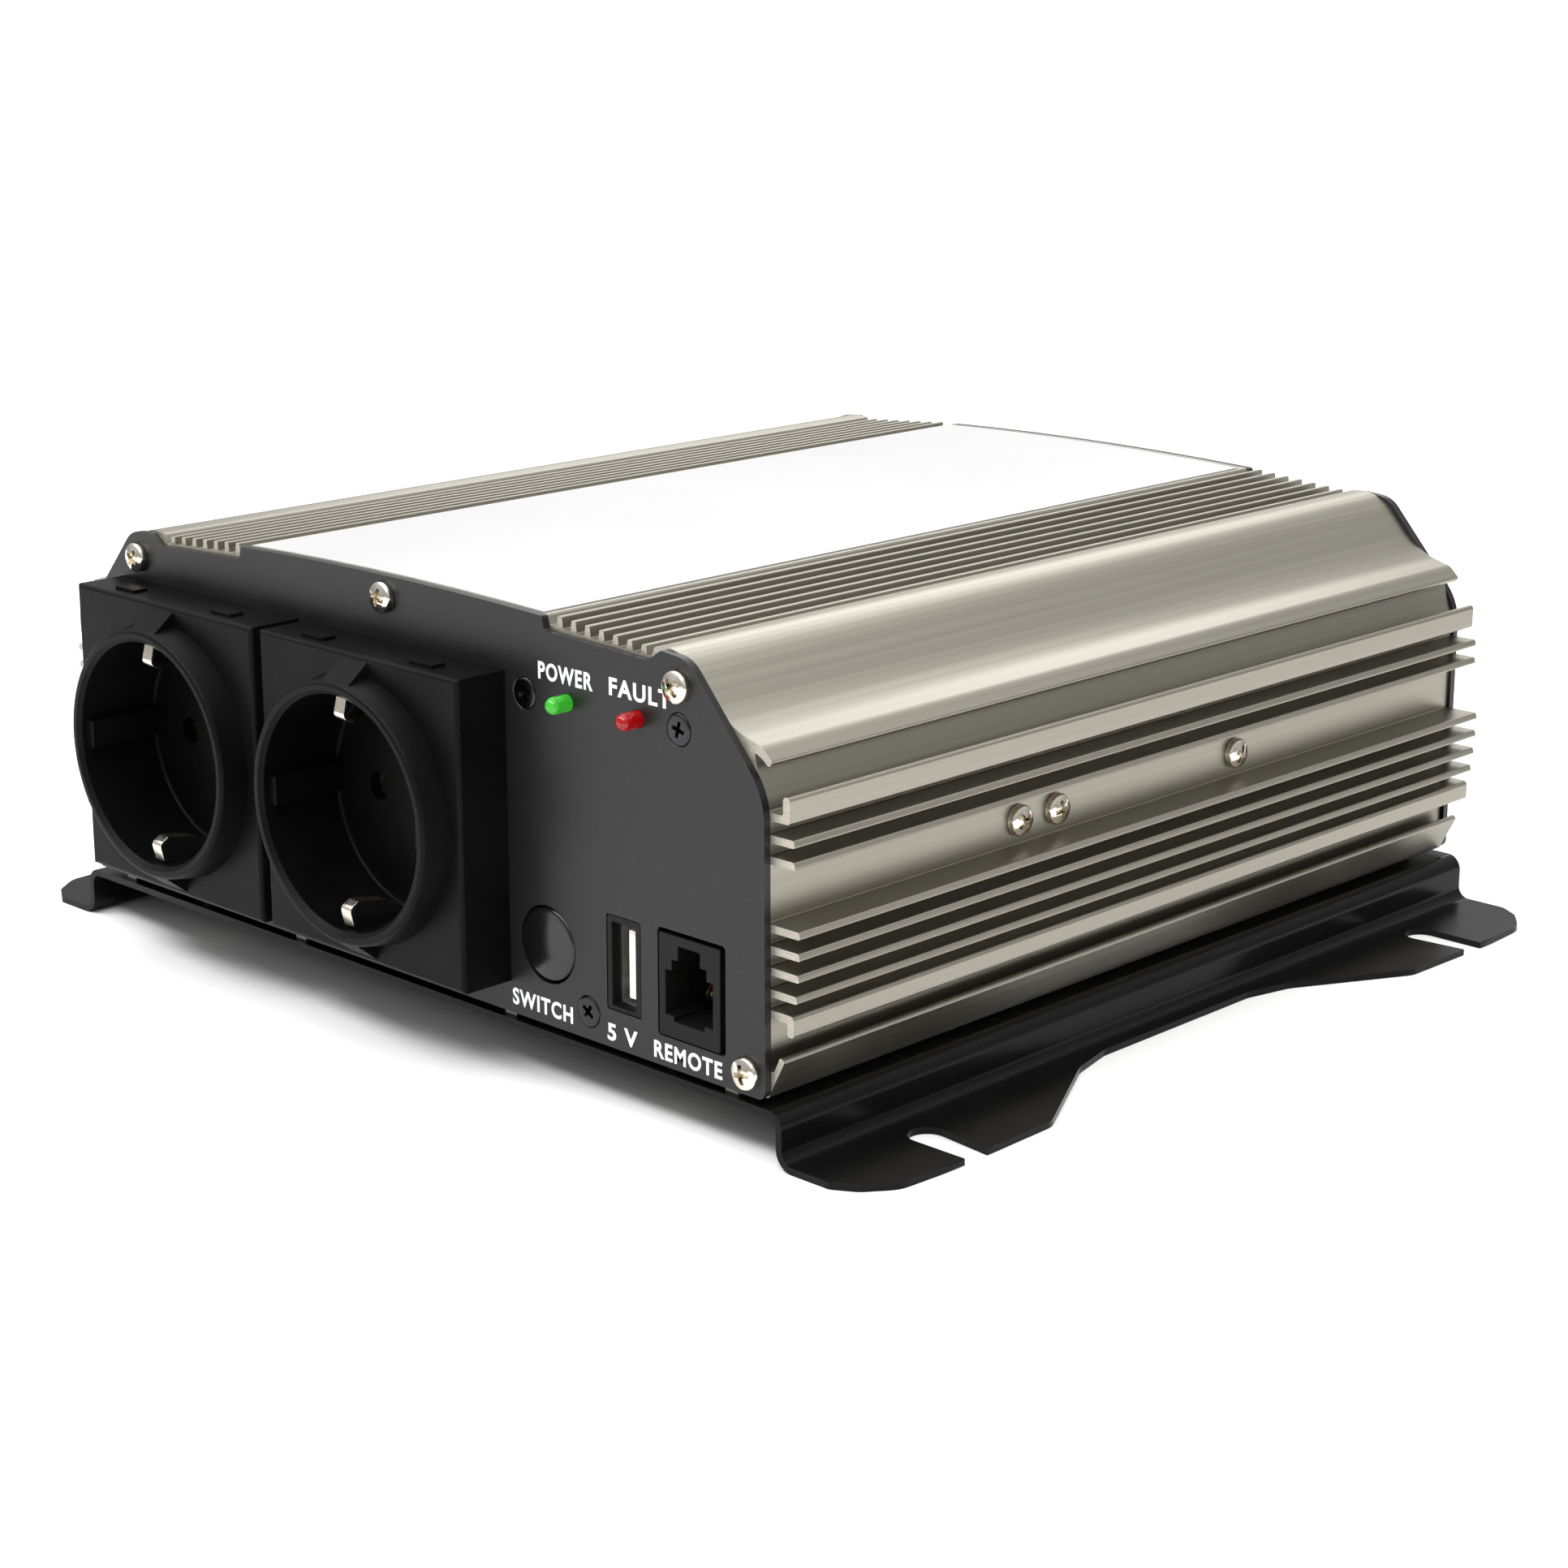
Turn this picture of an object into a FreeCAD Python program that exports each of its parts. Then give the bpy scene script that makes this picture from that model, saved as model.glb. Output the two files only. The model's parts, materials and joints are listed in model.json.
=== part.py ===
"""Power inverter: a ribbed aluminium case between two end panels, on a footed base plate.

Everything is drawn in the case frame, in millimetres: X across the case from its middle, Y back
from the front panel's face, Z up from the panels' lower edge. save() moves each piece to the part's
own frame, whose origin is the middle of the whole object's box, on the surface that it stands on.
"""
import FreeCAD, Part
import math
import os

V = FreeCAD.Vector
AXIS_X = V(1, 0, 0)
AXIS_Y = V(0, 1, 0)
AXIS_Z = V(0, 0, 1)
PLANES = {
    "xz": lambda a, b: V(a, 0, b),
    "xy": lambda a, b: V(a, b, 0),
    "yz": lambda a, b: V(0, a, b),
}

# ---- case ----------------------------------------------------------------------------------
PANEL_T = 1.5
CASE_BACK = 200.0              # rear panel's inner face
CASE_END = CASE_BACK + PANEL_T
PANEL_HALF = 94.1
WALL_X = 93.3                  # outer face of the side walls
WALL_T = 2.0
INSIDE_X = WALL_X - WALL_T
CEILING_Z = 67.2
PLATEAU_HALF = 41.2
PLATEAU_Z = 72.8
PLATEAU_RISE = 0.8             # how far its middle stands above its edges
LABEL_HALF = 40.4
LABEL_T = 0.2
LABEL_SPAN = (PANEL_T + 0.3, CASE_BACK - 2.5)
SKID_H = 1.3                   # gap between the case and the base plate
SKID_X = (-85.0, -30.0, 30.0, 85.0)

# ---- top ribs and side fins ----------------------------------------------------------------
RIB_COUNT = 7
RIB_PITCH = 3.4
RIB_FIRST_X = 44.6
RIB_TOP_Z = 72.9
RIB_VALLEY_Z = 70.8
RIB_FALL = 0.26                # how much lower each rib stands than the one before it
RIB_HALF_TOP = 0.5
RIB_HALF_ROOT = 0.75
FIN_T = 1.35
LOWER_FINS = [(17.6, 99.9), (21.3, 100.3), (25.0, 100.5), (28.6, 100.5)]   # lower face, tip
UPPER_FINS = [(40.0, 99.4), (43.6, 99.3)]

# ---- base plate ----------------------------------------------------------------------------
PLATE_T = 1.25
GROUND_Z = -11.2
FLANGE_X = 97.8
BEND_R = 3.0
FOOT_TOP_Z = GROUND_Z + PLATE_T
FOOT_X = 117.6
LIP_X = 102.0
FOOT_STRAIGHT = 46.0           # length of a foot's outer edge from the case's end
FOOT_TAPER = 79.0              # where its taper meets the lip
FOOT_BEND_R = 2.4
SLOT_Y = 26.4
SLOT_W = 7.0
SLOT_IN_X = 102.9
SLOT_NARROWS = 1.5             # how much narrower the slot is at its mouth

# ---- sockets -------------------------------------------------------------------------------
SOCKET_X = [-52.4, 4.65]
SOCKET_Z = 33.8
SOCKET_NAMES = ["left", "right"]
BLOCK_HALF = 27.35
BLOCK_LOW_Z = 5.8
BLOCK_TOP_Z = 61.8
BLOCK_FRONT = -10.85
RING_FRONT = -16.2
WELL_R = 21.5
RING_R = 23.75
RING_ROOT_R = 24.7
WELL_FLOOR = RING_FRONT + 17.5
SOCKET_BACK = 14.0
SOCKET_BODY_R = 23.3
PIN_SPACING = 19.0
PIN_HOLE_R = 2.6
TUBE_R = 3.1
CATCH_HALF = 3.0
CLIP_HALF = 1.35
CLIP_SLOT = (19.5, 22.0)       # distance from the well's axis
CLIP_PATH = [(-13.6, 20.9), (-14.4, 17.6), (-12.5, 16.6), (-7.0, 17.6), (-1.0, 20.6), (13.0, 20.6)]

# ---- controls ------------------------------------------------------------------------------
BUTTON_X = 41.75
BUTTON_Z = 14.7
BUTTON_HOLE_R = 7.05
BUTTON_R = 6.7
BUTTON_TRAVEL = 2.5
BUTTON_BACK = 4.3
SWITCH_HALF = 7.0
SWITCH_FRONT = BUTTON_BACK + BUTTON_TRAVEL + 0.3
SWITCH_POCKET = SWITCH_FRONT + 3.2
SPRING_R = 3.4
SPRING_WIRE_R = 0.22
STEM_R = 2.4
FIT = 0.05                     # radial clearance of sliding and turning fits
BOARD_Y = 12.0                 # control board's front face
BOARD_T = 1.6
PORT_BOX = (56.75, 64.95, 6.95, 23.75)
PORT_MOUTH = (57.9, 63.65, 7.65, 22.6)
JACK_X = 76.4
JACK_FLOOR = 10.5
CONTACT_PITCH = 1.02
CONTACT_T = 0.44
JACK_BOX = (69.3, 83.7, 5.5, 23.5)
JACK_CUTOUT = (69.1, 85.1, 5.3, 24.4)
LED_SPOTS = {"power_led": (47.6, 58.75), "fault_led": (64.8, 59.05)}
LED_R = 1.5
LED_FRONT = -4.4
LEAD_R = 0.25
BOARD_SCREWS = [(37.0, 58.6), (74.5, 59.0), (51.9, 5.0)]

# ---- screws --------------------------------------------------------------------------------
PANEL_SCREWS = [(-74.5, 66.2), (0.0, 69.7), (74.5, 66.2), (90.2, 4.0), (-90.2, 4.0)]
HEAD_R = 2.85
HEAD_H = 2.0
SHANK_R = 1.25
THREAD_R = 1.3
CLEAR_R = 1.6
BOSS_R = 3.1
SCREW_TURNS = [20, 55, 75, 40, 10]
SIDE_SCREWS_Y = [63.8, 74.0, 126.8]
SIDE_SCREW_Z = 34.4
PLATE_SCREWS = [(x, y) for x in (-66.0, 66.0) for y in (6.5, CASE_END - 6.5)]

# ---- inside --------------------------------------------------------------------------------
MAIN_BOARD_Z = 11.4
MAIN_BOARD_Y = (20.0, 182.0)
RAIL_H = 1.6
RAIL_W = 2.6
BOARD_TOP = MAIN_BOARD_Z + BOARD_T
TRANSFORMER_Y = (52.0, 98.0)
CORE = V(44.0, 18.0, 40.0)     # each transformer's ferrite block
CORE_LIFT = 1.0                # its feet's height
CORE_LEG = 6.0
CORE_MIDDLE_LEG = 15.0
CORE_YOKE = 7.0
COIL_HALF_Y = 17.0
BUS_CAPACITORS = ((-52.0, 60.0), (-52.0, 88.0))
INPUT_CAPACITORS = [(x, y) for x in (-8.0, 8.0) for y in (135.0, 150.0)]
CHOKE = V(46.0, 134.0, BOARD_TOP + 6.8)
CHOKE_R = 11.5
CHOKE_CORE_R = 5.0
CHOKE_TURNS = 16
FUSE_X = (62.0, 22.0)
FUSE_Y = 163.5
TRANSISTOR_Y = [53.5, 84.5, 118.3, 135.3]
TRANSISTOR_T = 4.4
TRANSISTOR_LOW_Z = 24.0
LEG_PITCH = 2.54
CLAMP_SPANS = [(48.0, 90.0), (112.5, 141.0)]
PAD_T = 0.3
CLAMP_X = INSIDE_X - PAD_T - TRANSISTOR_T

# ---- rear ----------------------------------------------------------------------------------
FAN_X = -42.0
FAN_Z = 34.5
FAN_SIZE = 60.0
FAN_DEPTH = 15.0
FAN_HOLE_PITCH = 50.0
FAN_BORE_R = 28.6
FAN_BLADE_R = 27.6
FAN_HUB_R = 13.0
FAN_BLADES = 7
FAN_SHAFT_R = 1.5
GUARD_T = 1.6
GUARD_RINGS_R = (7.0, 14.0, 21.0, 28.0)
EYE_R = 3.4
STUD_X = {"positive": 62.0, "negative": 22.0}
STUD_Z = 34.0
STUD_R = 3.0
COLLAR_T = 2.1
INSULATOR_H = 6.0
KNOB_R = 8.0
KNOB_H = 13.0
KNOB_FLUTES = 12
WASHER_T = 1.2
GROUND_X = 82.0
GROUND_Z_POS = 12.0
GROUND_R = 2.0

REAR_REACH = CASE_END + INSULATOR_H + WASHER_T + KNOB_H
ORIGIN_Y = (RING_FRONT + REAR_REACH) / 2
SHIFT = V(0, -ORIGIN_Y, -GROUND_Z)


# ---- drawing helpers -----------------------------------------------------------------------
def save(name, *shapes):
    """Write one node, moved from the case frame to the part's own frame."""
    shape = shapes[0] if len(shapes) == 1 else Part.makeCompound(list(shapes))
    shape = shape.copy()
    shape.translate(SHIFT)
    shape.exportStep("parts/" + name + ".step")


def outline(corners, plane="xz"):
    """A closed wire through corners (a, b, radius), each corner rounded by its radius.

    A fourth value bows the edge that follows the corner outwards by that rise.
    """
    place = PLANES[plane]
    count = len(corners)
    starts = []
    ends = []
    edges = []
    for i in range(count):
        here = place(*corners[i][:2])
        before = place(*corners[i - 1][:2]) - here
        after = place(*corners[(i + 1) % count][:2]) - here
        radius = corners[i][2] if len(corners[i]) > 2 else 0.0
        if radius <= 0.0:
            starts.append(here)
            ends.append(here)
            edges.append(None)
            continue
        half = before.getAngle(after) / 2
        before.normalize()
        after.normalize()
        reach = radius / math.tan(half)
        middle = before + after
        middle.normalize()
        starts.append(here + before * reach)
        ends.append(here + after * reach)
        nearest = here + middle * (radius / math.sin(half) - radius)
        edges.append(Part.Arc(starts[-1], nearest, ends[-1]).toShape())
    path = []
    for i in range(count):
        if edges[i]:
            path.append(edges[i])
        first = ends[i]
        last = starts[(i + 1) % count]
        rise = corners[i][3] if len(corners[i]) > 3 else 0.0
        if first.distanceToPoint(last) < 1e-7:
            continue
        if rise:
            crown = (first + last) * 0.5 + place(0, rise)
            path.append(Part.Arc(first, crown, last).toShape())
        else:
            path.append(Part.LineSegment(first, last).toShape())
    return Part.Wire(path)


def slab(corners, y0, y1):
    """An outline in X and Z, filled and drawn out from y0 to y1."""
    solid = Part.Face(outline(corners)).extrude(V(0, y1 - y0, 0))
    solid.translate(V(0, y0, 0))
    return solid


def bar(corners, x0, x1):
    """An outline in Y and Z, filled and drawn out from x0 to x1."""
    solid = Part.Face(outline(corners, "yz")).extrude(V(x1 - x0, 0, 0))
    solid.translate(V(x0, 0, 0))
    return solid


def box(x0, x1, y0, y1, z0, z1):
    return Part.makeBox(x1 - x0, y1 - y0, z1 - z0, V(x0, y0, z0))


def rod(x, z, r, y0, y1):
    """A cylinder along Y."""
    return Part.makeCylinder(r, y1 - y0, V(x, y0, z), AXIS_Y)


def turned(x, z, corners):
    """A profile of (radius, y, rounding) corners turned about the Y axis through x, z."""
    profile = Part.Face(outline(corners, "xy"))
    solid = profile.revolve(V(0, 0, 0), AXIS_Y, 360)
    solid.translate(V(x, 0, z))
    return solid


def tile(corners, z0, z1):
    """An outline in X and Y, filled and drawn up from z0 to z1."""
    solid = Part.Face(outline(corners, "xy")).extrude(V(0, 0, z1 - z0))
    solid.translate(V(0, 0, z0))
    return solid


def rod_x(x0, x1, y, z, r):
    """A cylinder along X."""
    return Part.makeCylinder(r, x1 - x0, V(x0, y, z), AXIS_X)


def rod_z(x, y, r, z0, z1):
    """A cylinder along Z."""
    return Part.makeCylinder(r, z1 - z0, V(x, y, z0), AXIS_Z)


def hexagon(r, rounding=0.3):
    """Six rounded corners at radius r about the origin."""
    angles = [math.radians(60 * i) for i in range(6)]
    return [(r * math.cos(a), r * math.sin(a), rounding) for a in angles]


def strip(path, thickness, bend):
    """Corners of an even band along a path of (a, b) points, with its bends rounded."""
    points = [V(a, b, 0) for a, b in path]
    steps = [(after - before).normalize() for before, after in zip(points, points[1:])]
    left = []
    right = []
    for i, here in enumerate(points):
        into = steps[max(i - 1, 0)]
        out = steps[min(i, len(steps) - 1)]
        normal = V(-into.y - out.y, into.x + out.x, 0).normalize()
        reach = thickness / 2 / normal.dot(V(-into.y, into.x, 0))
        turn = into.cross(out).z
        rounding = bend if abs(turn) > 0.01 else 0.15
        left.append((here + normal * reach, rounding + (thickness if turn < 0 else 0)))
        right.append((here - normal * reach, rounding + (thickness if turn > 0 else 0)))
    return [(point.x, point.y, r) for point, r in left + right[::-1]]


def rect(x0, x1, z0, z1, r):
    """Four corners, each rounded by r."""
    return [(x0, z0, r), (x1, z0, r), (x1, z1, r), (x0, z1, r)]


def fused(shapes):
    return shapes[0].multiFuse(shapes[1:]).removeSplitter()


def mirrored(shape):
    return shape.mirror(V(0, 0, 0), AXIS_X)


def both_sides(right_half):
    """Corners from the bottom's middle up to the top's middle, continued down the left side."""
    left = [(-x, z, r) for x, z, r in reversed(right_half)]
    return right_half + left


def cross_cut(half, width, y0, y1):
    """The cross recess of a screw head, open towards -Y."""
    flat = box(-half, half, y0, y1, -width / 2, width / 2)
    upright = box(-width / 2, width / 2, y0, y1, -half, half)
    return Part.makeCompound([flat, upright])


def screw(length):
    """A pan-head screw: head over the origin on -Y, shank along +Y."""
    dome = [(0, -HEAD_H), (HEAD_R * 0.55, -HEAD_H, 1.2), (HEAD_R, -HEAD_H * 0.35, 0.5), (HEAD_R, 0), (0, 0)]
    tip = SHANK_R - 0.6
    shank = [(0, 0), (SHANK_R, 0), (SHANK_R, length - 0.6), (tip, length), (0, length)]
    body = fused([turned(0, 0, dome), turned(0, 0, shank)])
    return body.cut(cross_cut(1.9, 0.8, -HEAD_H, -HEAD_H + 1.1))


def placed(shape, x, y, z, turn=0.0, axis=AXIS_Z):
    copy = shape.copy()
    copy.rotate(V(0, 0, 0), axis, turn)
    copy.translate(V(x, y, z))
    return copy


# ---- case ----------------------------------------------------------------------------------
def panel_corners():
    right = [
        (PANEL_HALF, 0.0, 1.6), (PANEL_HALF - 0.3, 51.6, 12.0), (76.6, 71.0, 6.0), (70.4, 71.5, 1.5),
        (67.4, 69.35, 1.5), (PLATEAU_HALF + 1.1, 70.3, 0.6), (PLATEAU_HALF + 0.4, PLATEAU_Z, 0.8),
    ]
    corners = both_sides(right)
    top_right = len(right) - 1
    corners[top_right] = corners[top_right] + (PLATEAU_RISE,)
    return corners


def fin(low_z, tip_x):
    """One side fin: its lower root, blunt slanted tip and upper root."""
    high_z = low_z + FIN_T
    under = [(WALL_X, low_z, 0.25), (tip_x, low_z + 0.05, 0.3)]
    return under + [(tip_x - 0.35, high_z, 0.5), (WALL_X, high_z, 0.25)]


def side_corners():
    """The right wall's outer face, from the bottom edge up to the shoulder's ledge."""
    corners = [(WALL_X + 0.2, 0.0, 0.5), (94.7, 2.5, 2.5), (97.1, 7.1, 0.5), (96.1, 7.8, 0.4),
               (94.8, 4.9, 1.0), (WALL_X, 4.5, 0.4)]
    corners += [(WALL_X, 14.0, 0.3), (97.7, 14.0, 0.3), (97.7, 11.7, 0.4), (99.1, 11.7, 0.5),
                (99.1, 15.4, 0.9), (WALL_X, 15.4, 0.3)]
    for low_z, tip_x in LOWER_FINS + UPPER_FINS:
        corners += fin(low_z, tip_x)
    corners += [(WALL_X, 47.3, 0.3), (98.1, 47.3, 0.5), (98.1, 51.8, 0.7), (96.6, 51.8, 0.7),
                (96.6, 48.65, 0.4), (WALL_X + 0.1, 48.65, 0.3)]
    corners += [(90.6, 56.4, 1.5), (90.2, 58.0, 0.3), (92.0, 57.1, 0.8), (93.5, 56.0, 0.4),
                (94.3, 56.9, 0.4), (92.2, 59.0, 3.0), (87.2, 60.4, 12.0), (83.0, 62.6, 10.0),
                (76.0, 70.3, 9.0), (71.6, 71.8, 6.0), (67.6, 71.5, 0.8), (66.6, 69.4, 0.4)]
    return corners


def rib_corners():
    """The ribs of the right half, from the outermost in to the plateau's edge."""
    corners = []
    for i in reversed(range(RIB_COUNT)):
        x = RIB_FIRST_X + i * RIB_PITCH
        top = RIB_TOP_Z - i * RIB_FALL
        valley = RIB_VALLEY_Z - i * RIB_FALL * 0.8
        corners += [(x + RIB_HALF_ROOT, valley, 0.2), (x + RIB_HALF_TOP, top, 0.25),
                    (x - RIB_HALF_TOP, top, 0.25), (x - RIB_HALF_ROOT, valley, 0.2)]
    return corners + [(PLATEAU_HALF + 0.9, RIB_VALLEY_Z + 0.1, 0.3)]


def casing_cavity():
    """The hollow inside, narrowed by the rails that hold the main board's edges."""
    corners = [(INSIDE_X, WALL_T, 0.5)]
    rail_x = INSIDE_X - RAIL_W
    for z in (MAIN_BOARD_Z - 0.1 - RAIL_H, MAIN_BOARD_Z + BOARD_T + 0.1):
        top = z + RAIL_H
        corners += [(INSIDE_X, z, 0.3), (rail_x, z, 0.3), (rail_x, top, 0.3), (INSIDE_X, top, 0.0)]
    corners += [(INSIDE_X, 49.5, 3.0), (88.3, 55.6, 2.0), (82.0, 60.2, 3.0), (74.5, CEILING_Z, 4.0)]
    return slab(both_sides(corners), PANEL_T - 1, CASE_BACK + 1)


def casing_holes():
    """Screw holes: along the bosses, through the side walls and up through the floor."""
    holes = [rod(x, z, THREAD_R, PANEL_T - 1, CASE_BACK + 1) for x, z in PANEL_SCREWS]
    for y in SIDE_SCREWS_Y:
        for middle in (-WALL_X, WALL_X):
            holes.append(rod_x(middle - 4, middle + 4, y, SIDE_SCREW_Z, CLEAR_R))
    for x, y in PLATE_SCREWS:
        holes.append(rod_z(x, y, THREAD_R, -2, 4))
    return Part.makeCompound(holes)


def extruded_casing():
    right = side_corners() + rib_corners() + [(PLATEAU_HALF, PLATEAU_Z, 0.8)]
    corners = both_sides(right)
    crown = len(right) - 1
    corners[crown] = corners[crown] + (PLATEAU_RISE,)
    envelope = slab(corners, PANEL_T, CASE_BACK)
    bosses = [rod(x, z, BOSS_R, PANEL_T, CASE_BACK).common(envelope) for x, z in PANEL_SCREWS]
    skids = [box(x - 1.5, x + 1.5, PANEL_T, CASE_BACK, -SKID_H, 0.5) for x in SKID_X]
    shell = fused([envelope.cut(casing_cavity())] + bosses + skids)
    return shell.cut(casing_holes())


def end_panel(y0, holes):
    panel = slab(panel_corners(), y0, y0 + PANEL_T)
    screws = [rod(x, z, CLEAR_R, y0 - 1, y0 + PANEL_T + 1) for x, z in PANEL_SCREWS]
    return panel.cut(Part.makeCompound(screws + holes))


def countersink(x, z):
    """The cutter for a flush screw in the front panel."""
    reach = PANEL_T + 1
    corners = [(0, -1), (3.0, -1), (3.0, 0.0), (CLEAR_R, 1.3), (CLEAR_R, reach), (0, reach)]
    return turned(x, z, corners)


def front_panel():
    reach = PANEL_T + 1
    holes = [rod(x, SOCKET_Z, SOCKET_BODY_R + 0.3, -1, reach) for x in SOCKET_X]
    holes.append(rod(BUTTON_X, BUTTON_Z, BUTTON_HOLE_R, -1, reach))
    holes += [rod(x, z, LED_R + 0.1, -1, reach) for x, z in LED_SPOTS.values()]
    holes += [countersink(x, z) for x, z in BOARD_SCREWS]
    x0, x1, z0, z1 = PORT_BOX
    holes.append(slab(rect(x0 - 0.15, x1 + 0.15, z0 - 0.15, z1 + 0.15, 0.6), -1, reach))
    holes.append(slab(rect(*JACK_CUTOUT, 0.8), -1, reach))
    return end_panel(0.0, holes)


def rear_panel():
    y0 = CASE_BACK - 1
    reach = CASE_END + 1
    holes = [rod(FAN_X, FAN_Z, FAN_BORE_R - 0.4, y0, reach)]
    holes += [rod(x, z, CLEAR_R, y0, reach) for x, z in fan_corners()]
    holes += [rod(x, STUD_Z, STUD_R + COLLAR_T + 0.1, y0, reach) for x in STUD_X.values()]
    holes.append(rod(GROUND_X, GROUND_Z_POS, GROUND_R + 0.1, y0, reach))
    return end_panel(CASE_BACK, holes)


def plate_section():
    """The folded sheet across the case: a raised middle, two webs and two flat feet."""
    web_x = FLANGE_X - PLATE_T
    right = [
        (web_x, -SKID_H - PLATE_T, BEND_R - PLATE_T), (web_x, GROUND_Z, FOOT_BEND_R + PLATE_T),
        (FOOT_X, GROUND_Z, 0.3), (FOOT_X, FOOT_TOP_Z, 0.3),
        (FLANGE_X, FOOT_TOP_Z, FOOT_BEND_R), (FLANGE_X, -SKID_H, BEND_R),
    ]
    return both_sides(right)


def plate_plan():
    """The sheet from above: rounded feet at both ends, with a narrow lip between them."""
    quarter = [
        (108.5, 0.0, 2.0), (112.8, 2.6, 4.0), (116.8, 8.0, 6.0), (FOOT_X, 20.0, 20.0),
        (FOOT_X - 0.6, FOOT_STRAIGHT, 5.0), (LIP_X + 2.4, 69.0, 8.0), (LIP_X, FOOT_TAPER, 6.0),
    ]
    return both_sides(quarter + [(x, CASE_END - y, r) for x, y, r in reversed(quarter)])


def foot_slot(y, narrows):
    """The right foot's slot at y, round at its inner end; its mouth narrows on the +Y or -Y side."""
    middle = SLOT_IN_X + SLOT_W / 2
    outside = FOOT_X + 3
    straight = y - narrows * SLOT_W / 2
    slanted = y + narrows * SLOT_W / 2
    tip = slanted - narrows * SLOT_NARROWS
    mouth = [(middle, straight), (outside, straight), (outside, tip), (middle, slanted)]
    low = GROUND_Z - 5
    high = GROUND_Z + 5
    return fused([rod_z(middle, y, SLOT_W / 2, low, high), tile(mouth, low, high)])


def base_plate():
    """A sheet bent down at both sides and out again into four slotted feet."""
    plate = slab(plate_section(), 0, CASE_END).common(tile(plate_plan(), GROUND_Z - 5, 5))
    slots = [foot_slot(SLOT_Y, 1), foot_slot(CASE_END - SLOT_Y, -1)]
    cuts = slots + [mirrored(slot) for slot in slots]
    cuts += [rod_z(x, y, CLEAR_R, -6, 4) for x, y in PLATE_SCREWS]
    return plate.cut(Part.makeCompound(cuts))


def top_label():
    """A thin sheet on the plateau, bowed like it."""
    crown = PLATEAU_Z + PLATEAU_RISE
    foot = crown - PLATEAU_RISE * (LABEL_HALF / PLATEAU_HALF) ** 2
    rise = crown - foot
    corners = [
        (LABEL_HALF, foot), (LABEL_HALF, foot + LABEL_T, 0.0, rise),
        (-LABEL_HALF, foot + LABEL_T), (-LABEL_HALF, foot, 0.0, rise),
    ]
    return slab(corners, *LABEL_SPAN)


def spun_screws(shape, spots, y):
    """Copies of one screw at (x, z) spots, each turned by its own angle."""
    return [placed(shape, x, y, z, turn, AXIS_Y) for (x, z), turn in zip(spots, SCREW_TURNS)]


def side_screws():
    """The screws through both side walls into the clamp bars."""
    screws = []
    for y, turn in zip(SIDE_SCREWS_Y, SCREW_TURNS):
        spun = placed(screw(9.0), 0, 0, 0, turn, AXIS_Y)
        screws.append(placed(spun, WALL_X, y, SIDE_SCREW_Z, 90))
        screws.append(placed(spun, -WALL_X, y, SIDE_SCREW_Z, -90))
    return screws


def save_case():
    save("extruded_casing", extruded_casing())
    save("front_panel", front_panel())
    save("rear_panel", rear_panel())
    save("base_plate", base_plate())
    save("top_label", top_label())
    panel_screw = screw(8.0)
    save("front_panel_screws", *spun_screws(panel_screw, PANEL_SCREWS, 0))
    save("rear_panel_screws", *spun_screws(placed(panel_screw, 0, 0, 0, 180), PANEL_SCREWS, CASE_END))
    upward = placed(screw(5.5), 0, 0, 0, 90, AXIS_X)
    save("base_plate_screws", *[placed(upward, x, y, -SKID_H - PLATE_T, 30) for x, y in PLATE_SCREWS])
    save("side_clamp_screws", *side_screws())


# ---- sockets -------------------------------------------------------------------------------
def socket_ramp(upward):
    """The gusset that leans from the ring's rim to the block's edge."""
    start = RING_R - 1.5
    stop = BLOCK_TOP_Z - SOCKET_Z - 0.9
    corners = [(BLOCK_FRONT + 1, start), (RING_FRONT + 0.7, start), (RING_FRONT + 0.7, start + 1.2),
               (BLOCK_FRONT, stop), (BLOCK_FRONT + 1, stop)]
    corners = [(y, SOCKET_Z + upward * z) for y, z in corners]
    return bar(corners, -3.6, 3.6)


def socket_front():
    """The block, its ring, the round body behind them and the two small catches on top."""
    block = box(-BLOCK_HALF, BLOCK_HALF, BLOCK_FRONT, 0, BLOCK_LOW_Z, BLOCK_TOP_Z)
    front_edges = [e for e in block.Edges if e.BoundBox.YMax < BLOCK_FRONT + 0.01]
    ring = [(0, RING_FRONT), (RING_R, RING_FRONT, 0.9), (RING_ROOT_R, BLOCK_FRONT + 0.01),
            (RING_ROOT_R, -1), (0, -1)]
    catches = [box(x - CATCH_HALF, x + CATCH_HALF, BLOCK_FRONT + 2.5, BLOCK_FRONT + 5.5,
                   BLOCK_TOP_Z - 0.1, BLOCK_TOP_Z + 0.6) for x in (-15.0, 15.0)]
    body = rod(0, SOCKET_Z, SOCKET_BODY_R, -1, SOCKET_BACK)
    shapes = [block.makeFillet(0.9, front_edges), turned(0, SOCKET_Z, ring), body]
    return fused(shapes + [socket_ramp(1), socket_ramp(-1)] + catches)


def socket_well():
    """The round hollow for the plug, less the two guide ribs at its sides."""
    front = RING_FRONT - 1
    corners = [(0, front), (WELL_R + 0.8, front), (WELL_R + 0.8, RING_FRONT), (WELL_R, RING_FRONT + 0.8),
               (WELL_R, WELL_FLOOR, 0.8), (0, WELL_FLOOR)]
    ribs = [box(middle - 2.0, middle + 2.0, RING_FRONT + 2.0, WELL_FLOOR + 1, SOCKET_Z - 2.6, SOCKET_Z + 2.6)
            for middle in (-WELL_R, WELL_R)]
    return turned(0, SOCKET_Z, corners).cut(Part.makeCompound(ribs))


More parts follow.
